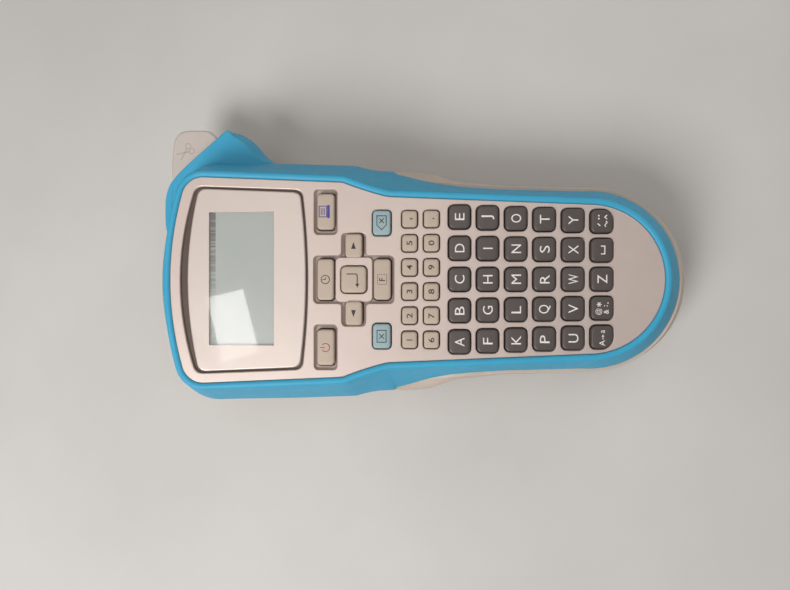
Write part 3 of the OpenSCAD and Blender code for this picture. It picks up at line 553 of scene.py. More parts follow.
INNER = {
    "flex_film": film("flex_film_amber", (0.45, 0.22, 0.05)),
    "key_rubber": rubber("keypad_rubber", (0.035, 0.033, 0.035)),
    "circuit_board": circuit("circuit_board_green"),
    "component": moulded("component_epoxy", (0.03, 0.03, 0.032), 0.5, 0.03, 2.5, 0.15),
    "cell_sleeve": sleeve("cell_sleeve_print", (0.10, 0.16, 0.11)),
    "spring_steel": metal("spring_steel_wire", (0.55, 0.55, 0.57), 0.28),
    "black_plastic": moulded("black_moulded_plastic", (0.022, 0.022, 0.024), 0.46, 0.03, 1.8, 0.15),
    "sheet_steel": metal("zinc_sheet_steel", (0.56, 0.57, 0.60), 0.36),
    "motor_can": metal("motor_can_steel", (0.48, 0.49, 0.51), 0.30, (4, 4, 0.15)),
    "brass": metal("machined_brass", (0.62, 0.42, 0.13), 0.26),
    "gear_plastic": moulded("gear_acetal", (0.74, 0.73, 0.69), 0.34, 0.01, 2.5, 0.03),
    "ground_steel": metal("ground_steel_pin", (0.66, 0.67, 0.69), 0.18, (4, 4, 0.2)),
    "roller_rubber": rubber("platen_rubber", (0.022, 0.022, 0.022)),
    "grey_plastic": moulded("smoke_grey_plastic", (0.055, 0.055, 0.06), 0.38, 0.015, 2.2, 0.1),
    "label_film": film("label_film_white", (0.78, 0.78, 0.75), 0.3),
    "ink_ribbon": film("ink_ribbon_black", (0.012, 0.012, 0.014), 0.12),
    "ceramic": moulded("head_ceramic", (0.58, 0.50, 0.38), 0.22, 0.005, 3.0, 0.05, coat=0.5),
    "sink_aluminium": metal("heat_sink_aluminium", (0.60, 0.61, 0.62), 0.34),
    "blue_shell": BLUE,
    "beige_shell": BEIGE,
    "silver_panel": SILVER,
    "lens": MASK,
    "display": moulded("display_bezel_plastic", (0.05, 0.05, 0.05), 0.5, 0.02, 2.0, 0.1),
    "light_key": LIGHT_KEY,
    "dark_key": DARK_KEY,
    "blue_key": BLUE_KEY,
}
for node in nodes.values():
    found = node.data.materials[0].name.split(".")[0] if node.data.materials else ""
    material = INNER.get(found, INNER["black_plastic"])
    node.data.materials.clear()
    node.data.materials.append(material)

# ---- outlines

panel_low, panel_high = face_box("front_panel")
HEAD_Y, TAIL_Y = panel_high[1], panel_low[1]
HEAD_W, PANEL_T = 2 * panel_high[0], -panel_low[2]
NECK_W, WAIST_W, HANDLE_W = 69.6, 59.0, 52.0
CORNER_R, BOW_R, CORNER_END = 8.0, 111.0, 75.0
SHOULDER_Y, SHOULDER_LEN, WALL = 24.5, 16.0, 2.0
CAP_Y = TAIL_Y + HANDLE_W / 2
CORNER_X = HEAD_W / 2 - CORNER_R
bow_x = CORNER_X + CORNER_R * math.cos(math.radians(CORNER_END))
CORNER_Y = HEAD_Y - bow_x**2 / (2 * BOW_R) - CORNER_R * math.sin(math.radians(CORNER_END))


def side_half(y):
    """Half of the panel's width along its straight sides."""
    head = mix(NECK_W, HEAD_W, (y - SHOULDER_Y) / (CORNER_Y - SHOULDER_Y))
    waist_y = SHOULDER_Y - SHOULDER_LEN
    grip = mix(HANDLE_W, WAIST_W, (y - CAP_Y) / (waist_y - CAP_Y))
    t = np.clip((SHOULDER_Y - y) / SHOULDER_LEN, 0, 1)
    return mix(head, grip, t * (1.25 - 0.25 * t)) / 2


def half_outline():
    """The panel's right half, from the middle of its head to the middle of its tail."""
    x = np.linspace(0, CORNER_X, 22)[:-1]
    head = np.column_stack([x, HEAD_Y - x * x / (2 * BOW_R)])
    a = np.radians(CORNER_END * (1 - np.arange(12) / 12))
    corner = np.column_stack([CORNER_X + CORNER_R * np.cos(a), CORNER_Y + CORNER_R * np.sin(a)])
    y = np.linspace(CORNER_Y, CAP_Y, 84)
    side = np.column_stack([side_half(y), y])
    a = np.radians(-90 * np.arange(1, 27) / 26)
    tail = np.column_stack([HANDLE_W / 2 * np.cos(a), CAP_Y + HANDLE_W / 2 * np.sin(a)])
    tail[-1, 0] = 0
    return np.vstack([head, corner, side, tail])


HALF = half_outline()
step = np.zeros_like(HALF)
step[1:-1] = HALF[2:] - HALF[:-2]
step[0], step[-1] = (1, 0), (-1, 0)
OUT = np.column_stack([-step[:, 1], step[:, 0]])
OUT /= np.linalg.norm(OUT, axis=1)[:, None]


def ring(offset, height):
    """The panel's outline moved outwards, at a height or at heights that depend on y."""
    flat = HALF + OUT * np.broadcast_to(offset, len(HALF))[:, None]
    z = height(flat[:, 1]) if callable(height) else np.full(len(flat), float(height))
    right = np.column_stack([flat, z])
    return np.vstack([right, right[-2:0:-1] * [-1, 1, 1]])


def outline(grow):
    return ring(grow, 0)[:, :2]


def strip_caps(base, n):
    """Strips straight across a ring that is its own mirror image."""
    rows = range(n // 2)
    return [[base + i, base + i + 1, base + (n - i - 1) % n, base + (n - i) % n] for i in rows]


def table(pairs):
    """Straight runs between pairs of y and value."""
    y, v = np.array(pairs, float).T
    return lambda at: np.interp(at, y, v)


FOOT_Y, BASE_Y, RAMP, GRIP_LIFT = TAIL_Y + 3, -6.0, 20.0, 13.0
lift = table([(FOOT_Y, 0), (FOOT_Y + RAMP, GRIP_LIFT), (BASE_Y - RAMP, GRIP_LIFT), (BASE_Y, 0)])
seam_out = table(
    [(TAIL_Y, 8.4), (CAP_Y, 6.2), (-34, 5.8), (-19, 6.1), (-13, 6.6), (-7, 7.8), (-1, 9.6)]
    + [(5, 11.4), (11, 12.6), (18, 11), (26, 10), (45, 9.9), (75, 9.2)]
    + [(HEAD_Y - 4, 10), (HEAD_Y, 11.8)]
)
bulge_out = table(
    [(TAIL_Y, 13.1), (TAIL_Y + 17, 8), (-34, 8), (-18, 9.2), (-14, 10.2), (-6.5, 13.3)]
    + [(1, 14.4), (6, 14.4), (11, 13.6), (18, 11.4), (26, 10.2), (45, 10), (75, 9.2)]
    + [(HEAD_Y - 4, 10), (HEAD_Y, 12)]
)


def seam_z(y):
    """Height of the line where the two cases meet."""
    return -mix(10, 20, smooth((y + 18) / 28))


def floor_z(y):
    """Height of the case's underside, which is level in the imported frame."""
    return (lift(y) - FACE_Z * 1000 - y * S) / C


def between(f):
    """Heights a share of the way from the seam to the underside."""
    return lambda y: mix(seam_z(y), floor_z(y), f)


def seam(shift=0.0):
    return lambda y: seam_z(y) + shift


# ---- cutter corner

CX, CY = HEAD_W / 2, HEAD_Y
lever_low, lever_high = face_box("cutter_lever")
LEVER_LOW, LEVER_TOP = lever_low[2], lever_high[2]
HOOD_LOW, HOOD_TOP = LEVER_TOP + 0.7, -18.5
pin_low, pin_high = face_box("cutter_pin")
PIVOT = (pin_low[:2] + pin_high[:2]) / 2
SHELF_TOP = LEVER_LOW - 0.7
HOOD = [(-19.9, 7.6), (-19.6, 8.9), (-16.8, 10.1), (-9, 10.3), (-3, 10), (2.8, 7.5), (11.4, -1.9)]
HOOD += [(19.6, -11.8), (22.3, -14.6), (22.6, -16.2), (21.8, -18.6), (19.3, -22.9), (15.5, -26.4)]
HOOD += [(11.8, -29.2), (9.6, -33.5), (7, -33.5), (1, -27), (1, -11), (-2, 2), (-8, 7)]
LEVER = [(1, -17.5), (3, -19.5), (9, -19.5), (15, -13.5), (20.4, -8), (23.7, -5), (24.6, -3)]
LEVER += [(24.6, 5), (24, 8), (22.2, 9.9), (19, 11), (12.6, 11.6), (6, 11.8), (1, 9.6)]
LEVER += [(-9.6, 5), (-9.6, 1), (-3, 0.5), (-1, -2), (1, -9)]
SHELF = [(-1, 9.3), (5, 6), (12.5, -3.2), (18.5, -12.5), (17, -18), (9.5, -28), (6, -28)]
SHELF += [(1.5, -24), (1.5, -10), (-1.5, 5)]


def local(points):
    """Points given from the corner of the panel's head."""
    return np.array(points, float) + [CX, CY]


def boxed(x0, x1, y0, y1):
    return np.array([(x1, y1), (x0, y1), (x0, y0), (x1, y0)], float)


def inset_loop(loop, amounts):
    """A closed loop moved inwards by one amount for each point."""
    loop = np.asarray(loop, float)
    d = np.roll(loop, -1, axis=0) - np.roll(loop, 1, axis=0)
    n = np.column_stack([-d[:, 1], d[:, 0]])
    n /= np.linalg.norm(n, axis=1)[:, None]
    area = np.sum(loop[:, 0] * np.roll(loop[:, 1], -1) - np.roll(loop[:, 0], -1) * loop[:, 1])
    return loop + n * (1 if area > 0 else -1) * np.broadcast_to(amounts, len(loop))[:, None]


def pebble(loop, low, high, edge, inset=0.0):
    """A flat body with a bevelled lower edge and a rounded upper one, which has its own inset."""
    rings = [level(inset_loop(loop, edge), low), level(loop, low + edge)]
    for a in QUARTER_TURN:
        top = inset_loop(loop, inset + edge * (1 - math.cos(a)))
        rings.append(level(top, high - edge * (1 - math.sin(a))))
    return capped(rings)


def prism(points, low, high):
    return capped([level(points, low), level(points, high)])


def cut(obj, *cutters):
    """Cuts closed bodies out of an object and keeps the result as its mesh."""
    made = []
    for k, body in enumerate(cutters):
        tool = new_object(f"tool_{k}", *body)
        made.append(tool)
        cutter = obj.modifiers.new(f"cut_{k}", "BOOLEAN")
        cutter.operation, cutter.solver, cutter.object = "DIFFERENCE", "EXACT", tool
    graph = bpy.context.evaluated_depsgraph_get()
    mesh = bpy.data.meshes.new_from_object(obj.evaluated_get(graph))
    obj.modifiers.clear()
    old, obj.data = obj.data, mesh
    bpy.data.meshes.remove(old)
    for tool in made:
        data = tool.data
        bpy.data.objects.remove(tool)
        bpy.data.meshes.remove(data)
    return obj


# ---- shells


def upper_case():
    """Blue shell, from the panel's seat over the rounded rim down to the seam and back inside."""
    soft = 2.9
    out = seam_out(HALF[:, 1])
    mid = mix(soft, out, 0.5)
    rim = [(0.12, -1.7), (0.12, -0.45), (0.3, -0.1), (0.95, 0.26), (1.6, 0.28), (2.3, 0.0)]
    rim += [(2.75, -0.7), (3.0, -1.6)]
    rows = [ring(offset, z) for offset, z in rim]
    rows += [
        ring(mid, lambda y: mix(-1, seam_z(y), 0.48)),
        ring(out - 0.15, seam(0.9)),
        ring(out, seam(0.3)),
        ring(out - 0.05, seam(0.02)),
        ring(out - 0.5, seam()),
        ring(out - WALL, seam()),
        ring(mid - WALL, lambda y: mix(-1, seam_z(y), 0.5)),
        ring(soft - WALL, -5.0),
        ring(-0.5, -3.8),
        ring(-0.5, -PANEL_T - 0.25),
        ring(0.1, -PANEL_T - 0.25),
    ]
    shell = loft(chaikin(rows, 2, True), True)
    wing = chaikin(local(HOOD), 2, True)
    rear = np.clip((wing[:, 0] - CX - 8) / 4, 0, 1) * np.clip((CY - 14.5 - wing[:, 1]) / 3, 0, 1)
    for _ in range(4):  # the rear edge's wide bevel fades in over a few points
        rear = (np.roll(rear, 1) + 2 * rear + np.roll(rear, -1)) / 4
    hood = pebble(wing, HOOD_LOW, HOOD_TOP, 0.5, 2.4 * rear)
    piece("upper_case_skin", merged([shell, hood]), BLUE, "case", "blue_shell", ["upper_case"], 32)


COVER_HALF, COVER_NECK, COVER_HEAD, COVER_TAIL = 34.0, 21.0, HEAD_Y - 5, TAIL_Y + 11


def cover_outline(grow):
    """The rear cover's outline: wide over the tape bay, narrow over the cells."""
    y = np.linspace(6, -12, 25)
    half = mix(COVER_HALF, COVER_NECK, smooth((6 - y) / 18))
    wide, narrow = COVER_HALF + grow, COVER_NECK + grow
    right = [(COVER_HALF - 6, COVER_HEAD + grow), (wide - 2, COVER_HEAD - 2 + grow)]
    right += [(wide, COVER_HEAD - 6), *zip(half + grow, y), (narrow, COVER_TAIL + 6)]
    right += [(narrow - 2, COVER_TAIL + 2 - grow), (15, COVER_TAIL - grow)]
    return np.array(right + [(-x, v) for x, v in right[::-1]])


screw_places = [(COVER_HALF + 3.7, 22), (14, HEAD_Y + 0.6), (9, TAIL_Y - 0.8)]
SCREWS = [(side * x, y) for x, y in screw_places for side in (1, -1)]
tape_low, tape_high = face_box("label_tape")
TAPE_X = (tape_low[0] + tape_high[0]) / 2
TAPE_Z = (tape_low[2] + tape_high[2]) / 2
jack_low, jack_high = face_box("adapter_socket")
JACK_Y, JACK_Z = (jack_low[1] + jack_high[1]) / 2, (jack_low[2] + jack_high[2]) / 2


def screw_well(at):
    """Body of a counterbored screw hole."""
    z = float(floor_z(at[1]))
    steps = ((2.9, -3), (2.9, 3), (1.2, 3), (1.2, 9))
    return capped([level(circle(r, at=at), z + h) for r, h in steps])


def lower_case():
    """Beige shell, from its inner floor over the lip to its underside, then what is cut out."""
    bulge = bulge_out(HALF[:, 1])
    lip = seam_out(HALF[:, 1]) + mix(1.2, 0, smooth((HALF[:, 1] + 20) / 25))

    def inner_floor(y):
        return floor_z(y) + WALL

    rows = [
        ring(bulge - 7.9, inner_floor),
        ring(bulge - 6, lambda y: mix(inner_floor(y), seam_z(y), 0.08)),
        ring(bulge - 3.5, between(0.6)),
        ring(bulge - WALL, between(0.2)),
        ring(lip - WALL, seam(-0.15)),
        ring(lip - 0.6, seam(-0.15)),
        ring(lip - 0.1, seam(-0.17)),
        ring(lip + 0.1, seam(-0.6)),
        ring(bulge, between(0.2)),
        ring(bulge - 1.2, between(0.6)),
        ring(bulge - 3.4, between(0.9)),
        ring(bulge - 4.6, between(0.985)),
        ring(bulge - 6.0, floor_z),
        ring(bulge - 6.5, floor_z),
    ]
    rings = chaikin(rows, 2, False)
    n = rings.shape[1]
    verts, faces = loft(rings)
    faces = faces + strip_caps(0, n) + strip_caps((len(rings) - 1) * n, n)
    obj = new_object("lower_case_skin", verts, faces)
    bay = prism(cover_outline(0.15), floor_z(HEAD_Y) - 10, floor_z(COVER_TAIL) + 16)
    slot = prism(boxed(TAPE_X - 2.6, TAPE_X + 2.8, CY, CY + 30), TAPE_Z - 8, TAPE_Z + 7.5)
    lever_room = prism(local(boxed(-10, 40, -24, 20)), SHELF_TOP, HOOD_LOW + 0.5)
    hood = prism(local(HOOD), HOOD_LOW + 0.2, HOOD_TOP)
    jack = circle(4.8, steps=40, at=(JACK_Y, JACK_Z))
    socket = capped([np.insert(jack, 0, x, axis=1) for x in (-HEAD_W, -20)])
    cut(obj, bay, slot, lever_room, hood, socket, *[screw_well(at) for at in SCREWS])
    finish_piece(obj, BEIGE, "case", "beige_shell", ["lower_case"], 32)
    shelf = pebble(chaikin(local(SHELF), 2, True), SHELF_TOP - 2.6, SHELF_TOP, 0.5)
    piece("cutter_shelf_skin", shelf, BEIGE, "case", "beige_shell")


def rear_cover():
    """The cover over the tape bay and the cells, with grip ribs at its tail."""
    sheet_t, spacing, rib_half, rib_end = 2.0, 1.5, 9, 0.45

    def draped(flat, rise):
        return np.column_stack([flat, floor_z(flat[:, 1]) + rise])

    folds = [FOOT_Y + RAMP, BASE_Y - RAMP, BASE_Y]
    ys = np.concatenate([np.linspace(COVER_TAIL + 2, COVER_HEAD - 3, 80), folds])
    extra = [(x, y) for y in ys for x in np.linspace(-18, 18, 7)]
    coarse, loop = cover_outline(0), []
    for a, b in zip(coarse, np.roll(coarse, -1, axis=0)):
        count = max(1, round(np.linalg.norm(b - a) / spacing))
        loop += [mix(a, b, t) for t in np.arange(count) / count]
    loop = np.array(loop)
    rim = inset_loop(loop, 0.5)
    parts = []
    for edge, rise in ((rim, 0.0), (loop, sheet_t)):
        flat, faces = fill([edge], [], extra)
        parts.append((draped(flat, rise), faces))
    band = [(rim, 0.0), (inset_loop(loop, 0.12), 0.12), (loop, 0.5), (loop, sheet_t)]
    parts.append(loft([draped(p, rise) for p, rise in band]))
    for k in range(6):
        y, half = COVER_TAIL + 7 + 2.6 * k, rib_half - k
        if y > FOOT_Y + 2:
            rib = fillet([(*p, rib_end) for p in boxed(-half, half, y - 0.5, y + 0.5)], 4)
            steps = ((rib, 0.1), (rib, -0.25), (inset_loop(rib, 0.2), -0.42))
            rings = [draped(p, rise) for p, rise in steps]
            verts, faces = loft(rings)
            parts.append((verts, faces + [cap(rings, 2)]))
    piece("rear_cover_skin", merged(parts), BEIGE, "back_cover", "beige_shell", ["rear_cover"], 32)


upper_case()
lower_case()
rear_cover()

# ---- lever

INK_RISE, INK_DEPTH = 0.02, 0.15


def cutter_lever():
    """The lever with its pivot hole and a small scissors mark."""
    loop = chaikin(local(LEVER), 2, True)
    body = pebble(loop, LEVER_LOW, LEVER_TOP, 0.8)
    hole = circle(1.56, at=PIVOT)
    obj = new_object("cutter_lever_skin", *body)
    cut(obj, prism(hole, LEVER_LOW - 1, LEVER_TOP + 1))
    finish_piece(obj, LEVER_SKIN, "cutter", "beige_shell", ["cutter_lever"], 40)
    parts = []
    for side in (1, -1):
        parts.append(ribbon(circle(1.1, at=(side * 1.3, -2.6)), 0.32, True))
        parts.append(ribbon([(side * 0.8, -1.7), (side * -1.5, 3.2)], 0.4))
    lean, middle = np.array([[0.8, 0.6], [-0.6, 0.8]]), local((15.5, 6.0))
    icon = [(level(v @ lean + middle, LEVER_TOP + INK_RISE), f) for v, f in parts]
    piece("lever_scissors_mark", merged(icon), ICON_INK, "cutter", "beige_shell")


cutter_lever()

# ---- keys and legends

KEY_BEVEL, KEY_CROWN = 0.75, 0.08


def islands(node):
    """Boxes of a node's separate solids in the face frame, from low X to high X."""
    q = to_face(points_of(node))
    label = {}
    ids = [label.setdefault(tuple(np.round(p, 3)), len(label)) for p in q]
    parent = list(range(len(label)))

    def root(i):
        while parent[i] != i:
            parent[i] = parent[parent[i]]
            i = parent[i]
        return i

    for poly in nodes[node].data.polygons:
        first = root(ids[poly.vertices[0]])
        for v in poly.vertices[1:]:
            parent[root(ids[v])] = first
    groups = {}
    for p, i in zip(q, ids):
        groups.setdefault(root(i), []).append(p)
    boxes = [(np.min(g, 0), np.max(g, 0)) for g in groups.values()]
    return sorted(boxes, key=lambda b: b[0][0])


class Key:
    """One key's place, size and corner radii, taken from its solid."""

    def __init__(self, box, radius, big=None):
        low, high = box
        self.at = (low[:2] + high[:2]) / 2
        self.w, self.d = high[0] - low[0], high[1] - low[1]
        self.foot, self.top = low[2], high[2]
        self.radii = [radius] * 4
        if big:
            self.radii[3 if self.at[0] > 0 else 2] = big

    def loop(self, grow):
        radii = [max(0.15, r + grow) for r in self.radii]
        return rounded(self.w + 2 * grow, self.d + 2 * grow, radii) + self.at

    def cap(self):
        edge = self.top - KEY_CROWN
        rows = [(0, self.foot), (0, edge - 0.75), (-0.04, edge - 0.45), (-0.16, edge - 0.2)]
        rows += [(-0.38, edge - 0.05), (-KEY_BEVEL, edge)]
        rings = [level(self.loop(g), z) for g, z in rows]
        last = self.loop(-KEY_BEVEL)
        for s in (0.8, 0.6, 0.4, 0.2, 0.03):
            rings.append(level(self.at + (last - self.at) * s, self.top - KEY_CROWN * s * s))
        return capped(rings)

    def legend(self, flat, faces):
        return raised(flat + self.at, faces, self.top - INK_DEPTH, self.top + INK_RISE)


def solid(loop):
    """One flat face inside a loop."""
    return np.array(loop, float), [list(range(len(loop)))]


def cross_mark(r, width):
    return [ribbon([(-r, -r), (r, r)], width), ribbon([(-r, r), (r, -r)], width)]


def power_icon():
    return [ribbon(circle(1.45, 125, 415), 0.32), ribbon([(0, 0.3), (0, 1.9)], 0.32)]


def print_icon():
    marks = [ribbon(boxed(-1.9, 1.9, -0.4, 2.3), 0.28, True), solid(boxed(-2.3, 2.3, -1.5, -0.6))]
    marks += [ribbon([(-1.2, y), (1.2, y)], 0.24) for y in (0.35, 0.95, 1.55)]
    return marks


def clock_icon():
    return [ribbon(circle(1.5), 0.28, True), ribbon([(0, 1.05), (0, 0), (0.8, -0.1)], 0.26)]


def enter_icon():
    line = [(1.95, 2.5), (1.95, -0.6), (1.8, -1.1), (1.3, -1.35), (-1.7, -1.35)]
    return [ribbon(line, 0.34), solid([(-2.9, -1.35), (-1.5, -0.65), (-1.5, -2.05)])]


def function_icon():
    marks = [glyph("F", 2.9, 0.03)]
    for x in np.arange(-1.6, 1.7, 0.64):
        marks += [solid(boxed(x - 0.16, x + 0.16, y - 0.12, y + 0.12)) for y in (-1.6, 1.6)]
    for y in np.arange(-0.96, 1.0, 0.64):
        marks += [solid(boxed(x - 0.12, x + 0.12, y - 0.16, y + 0.16)) for x in (-1.75, 1.75)]
    return marks


def clear_icon():
    return [ribbon(boxed(-2.1, 2.1, -1.6, 1.6), 0.28, True), *cross_mark(0.85, 0.3)]


def backspace_icon():
    tag = [(2.4, 1.65), (-0.9, 1.65), (-2.5, 0), (-0.9, -1.65), (2.4, -1.65)]
    marks = [(v + [0.65, 0], f) for v, f in cross_mark(0.85, 0.3)]
    return [ribbon(tag, 0.28, True), *marks]


def caps_icon():
    shaft = ribbon([(-0.75, -0.2), (0.35, -0.2)], 0.24)
    point = solid([(0.2, 0.25), (0.95, -0.2), (0.2, -0.65)])
    return [glyph("A", 2.9, 0, (-2.0, 0.1)), glyph("a", 2.7, 0, (2.0, -0.2)), shaft, point]


def symbol_icon():
    marks = [("@", 2.4, 0, (-1.2, 1.2)), ("*", 3.6, 0.05, (1.3, 1.1)), ("&", 2.5, 0, (-1.2, -1.3))]
    marks += [(":", 2.6, 0.04, (0.8, -1.2)), (".", 3.4, 0.04, (1.8, -1.9))]
    return [glyph(*mark) for mark in marks]


def space_icon():
    return [ribbon([(-1.35, 0.5), (-1.35, -0.8), (1.35, -0.8), (1.35, 0.5)], 0.36)]


def accent_icon():
    dots = [solid(circle(0.3, at=(x, 1.2), steps=10)) for x in (0.8, 1.8)]
    wave = [(-2.0 + 0.28 * k, -1.2 + 0.35 * math.sin(0.9 * k)) for k in range(8)]
    hat = ribbon([(0.6, -1.6), (1.3, -0.8), (2.0, -1.6)], 0.34)
    return [*dots, ribbon([(-1.7, 0.7), (-0.9, 1.6)], 0.36), ribbon(wave, 0.34), hat]


def arrow_icon(side):
    return [solid([(side * 1.35, 0), (-side * 1.15, 0.85), (-side * 1.15, -0.85)])]


def letters(text):
    """One legend for each letter key of a row, most of them stretched to one width."""
    wide = {"I": None, "M": 3.3, "W": 3.4, "J": 2.5, "L": 2.6}
    return [[glyph(t, 4.9, -0.012, width=wide.get(t, 3.0))] for t in text]


def digits(text, stop):
    """One legend for each digit key of a row, and a larger stop on its last key."""
    marks = [[glyph(t, 2.9, 0.03, width=None if t == "1" else 1.75)] for t in text]
    return [*marks, [glyph(stop, 4.2, 0.02, (0, -0.7))]]


LARGE, SMALL, ROUND, DIGIT, LETTER, END_CORNER = 1.32, 1.22, 1.62, 1.12, 1.72, 3.8
SKINS = {"light_key": LIGHT_KEY, "blue_key": BLUE_KEY, "dark_key": DARK_KEY}
INKS = {"power_key": RED_INK, "print_key": BLUE_INK}
KEYPAD = [
    ("power_key", LARGE, [power_icon()], "light_key"),
    ("print_key", LARGE, [print_icon()], "light_key"),
    ("clock_key", LARGE, [clock_icon()], "light_key"),
    ("left_key", SMALL, [arrow_icon(-1)], "light_key"),
    ("right_key", SMALL, [arrow_icon(1)], "light_key"),
    ("enter_key", ROUND, [enter_icon()], "light_key"),
    ("function_key", LARGE, [function_icon()], "light_key"),
    ("clear_key", LARGE, [clear_icon()], "blue_key"),
    ("backspace_key", LARGE, [backspace_icon()], "blue_key"),
    ("digit_keys_row_1", DIGIT, digits("12345", ","), "light_key"),
    ("digit_keys_row_2", DIGIT, digits("67890", "."), "light_key"),
]
for k, text in enumerate(("ABCDE", "FGHIJ", "KLMNO", "PQRST", "UVWXY"), 1):
    KEYPAD.append((f"letter_keys_row_{k}", LETTER, letters(text), "dark_key"))
last_row = [("caps_key", caps_icon()), ("symbol_key", symbol_icon()), ("z_key", letters("Z")[0])]
last_row += [("space_key", space_icon()), ("accent_key", accent_icon())]
KEYPAD += [(name, LETTER, [icon], "dark_key") for name, icon in last_row]

KEYS = {}
for name, radius, legends, slot_name in KEYPAD:
    skin = SKINS[slot_name]
    legend_ink = WHITE_INK if skin is DARK_KEY else INKS.get(name, DARK_INK)
    big = END_CORNER if name in ("caps_key", "accent_key") else None
    keys = KEYS[name] = [Key(box, radius, big) for box in islands(name)]
    caps = f"{name}_cap" if len(keys) == 1 else f"{name}_caps"
    piece(caps, merged([key.cap() for key in keys]), skin, name, slot_name, [name], 45)
    marks = [key.legend(v, f) for key, group in zip(keys, legends) for v, f in group]
    piece(f"{name}_legend", merged(marks), legend_ink, name, slot_name)

# ---- front panel

KEY_GAP, EDGE = 0.35, 0.32
SINK, SINK_SLOPE, BREAK, SOFT = -0.9, 0.95, 0.12, 0.03


def lens_loop(head_apex, head_edge, head_half, tail_half, tail_edge, tail_apex):
    """The lens's outline: bowed ends, straight sides, rounded corners."""
    corner, steps = 2.2, 26
    t, even = np.linspace(0, 1, steps), np.linspace(0, 1, steps - 4)
    rounding = np.linspace(0, 1, 9)[1:-1, None]
    bow = (2 * t - 1) ** 2
    head = np.column_stack([mix(head_half, -head_half, t), mix(head_apex, head_edge, bow)])
    tail = np.column_stack([mix(-tail_half, tail_half, t), mix(tail_apex, tail_edge, bow)])
    left = np.column_stack([mix(-head_half, -tail_half, t), mix(head_edge, tail_edge, t)])
    right = np.column_stack([mix(tail_half, head_half, t), mix(tail_edge, head_edge, t)])
    out = []
    curves = [head, left, tail, right]
    for k, curve in enumerate(curves):
        following = curves[(k + 1) % 4]
        from_start = np.linalg.norm(curve - curve[0], axis=1)
        from_end = np.linalg.norm(curve - curve[-1], axis=1)
        body = curve[(from_start > corner) & (from_end > corner)]
        at = np.linspace(0, 1, len(body))
        body = np.column_stack([np.interp(even, at, body[:, i]) for i in (0, 1)])
        after = following[np.linalg.norm(following - following[0], axis=1) > corner][0]
        u = rounding
        out += [body, (1 - u) ** 2 * body[-1] + 2 * u * (1 - u) * curve[-1] + u**2 * after]
    return np.vstack(out)


glass_low, glass_high = face_box("display_window")
LENS_HALF, LENS_APEX, LENS_TAIL = glass_high[0], glass_high[1], glass_low[1]
LENS_HEAD_EDGE, LENS_TAIL_EDGE, LENS_TAPER = LENS_APEX - 4.2, LENS_TAIL + 2.1, 1.8


def lens_at(g, mid=0.0):
    """The lens's outline grown by g; mid widens the groove at the middle of the head edge."""
    head = (LENS_APEX + g + mid, LENS_HEAD_EDGE + g + 0.15 * mid, LENS_HALF + g)
    return lens_loop(*head, LENS_HALF - LENS_TAPER + g, LENS_TAIL_EDGE - g, LENS_TAIL - g)


def cross_loop(grow):
    """The sunk cross round the enter key, whose middle is 20.5 above the panel's."""
    a, b, c, d = 8.7 + grow, 14.6 + grow, 16.8 + grow, 4.5 + grow
    r, q = max(0.4, 2 + grow), max(0.4, 1.4 - grow)
    quarter = [(c, d, r), (a, d, q), (a, b, r)]
    corners = quarter + [(-x, y, k) for x, y, k in quarter[::-1]]
    corners += [(-x, -y, k) for x, y, k in quarter] + [(x, -y, k) for x, y, k in quarter[::-1]]
    return fillet(corners) + [0, 20.5]


def plain_loop(x, y, w, d, r):
    return lambda grow: rounded(w + 2 * grow, d + 2 * grow, [max(0.2, r + grow)] * 4) + [x, y]


def key_loop(key):
    return lambda grow: key.loop(KEY_GAP + grow)


def soft_edge(loop, top, drop):
    """Rounded rim round an opening, then its wall down to drop."""
    loops = [loop(EDGE * (1 - math.sin(a))) for a in QUARTER_TURN]
    heights = [top - EDGE * (1 - math.cos(a)) for a in QUARTER_TURN]
    return strips([*loops, loop(0)], [*heights, drop])


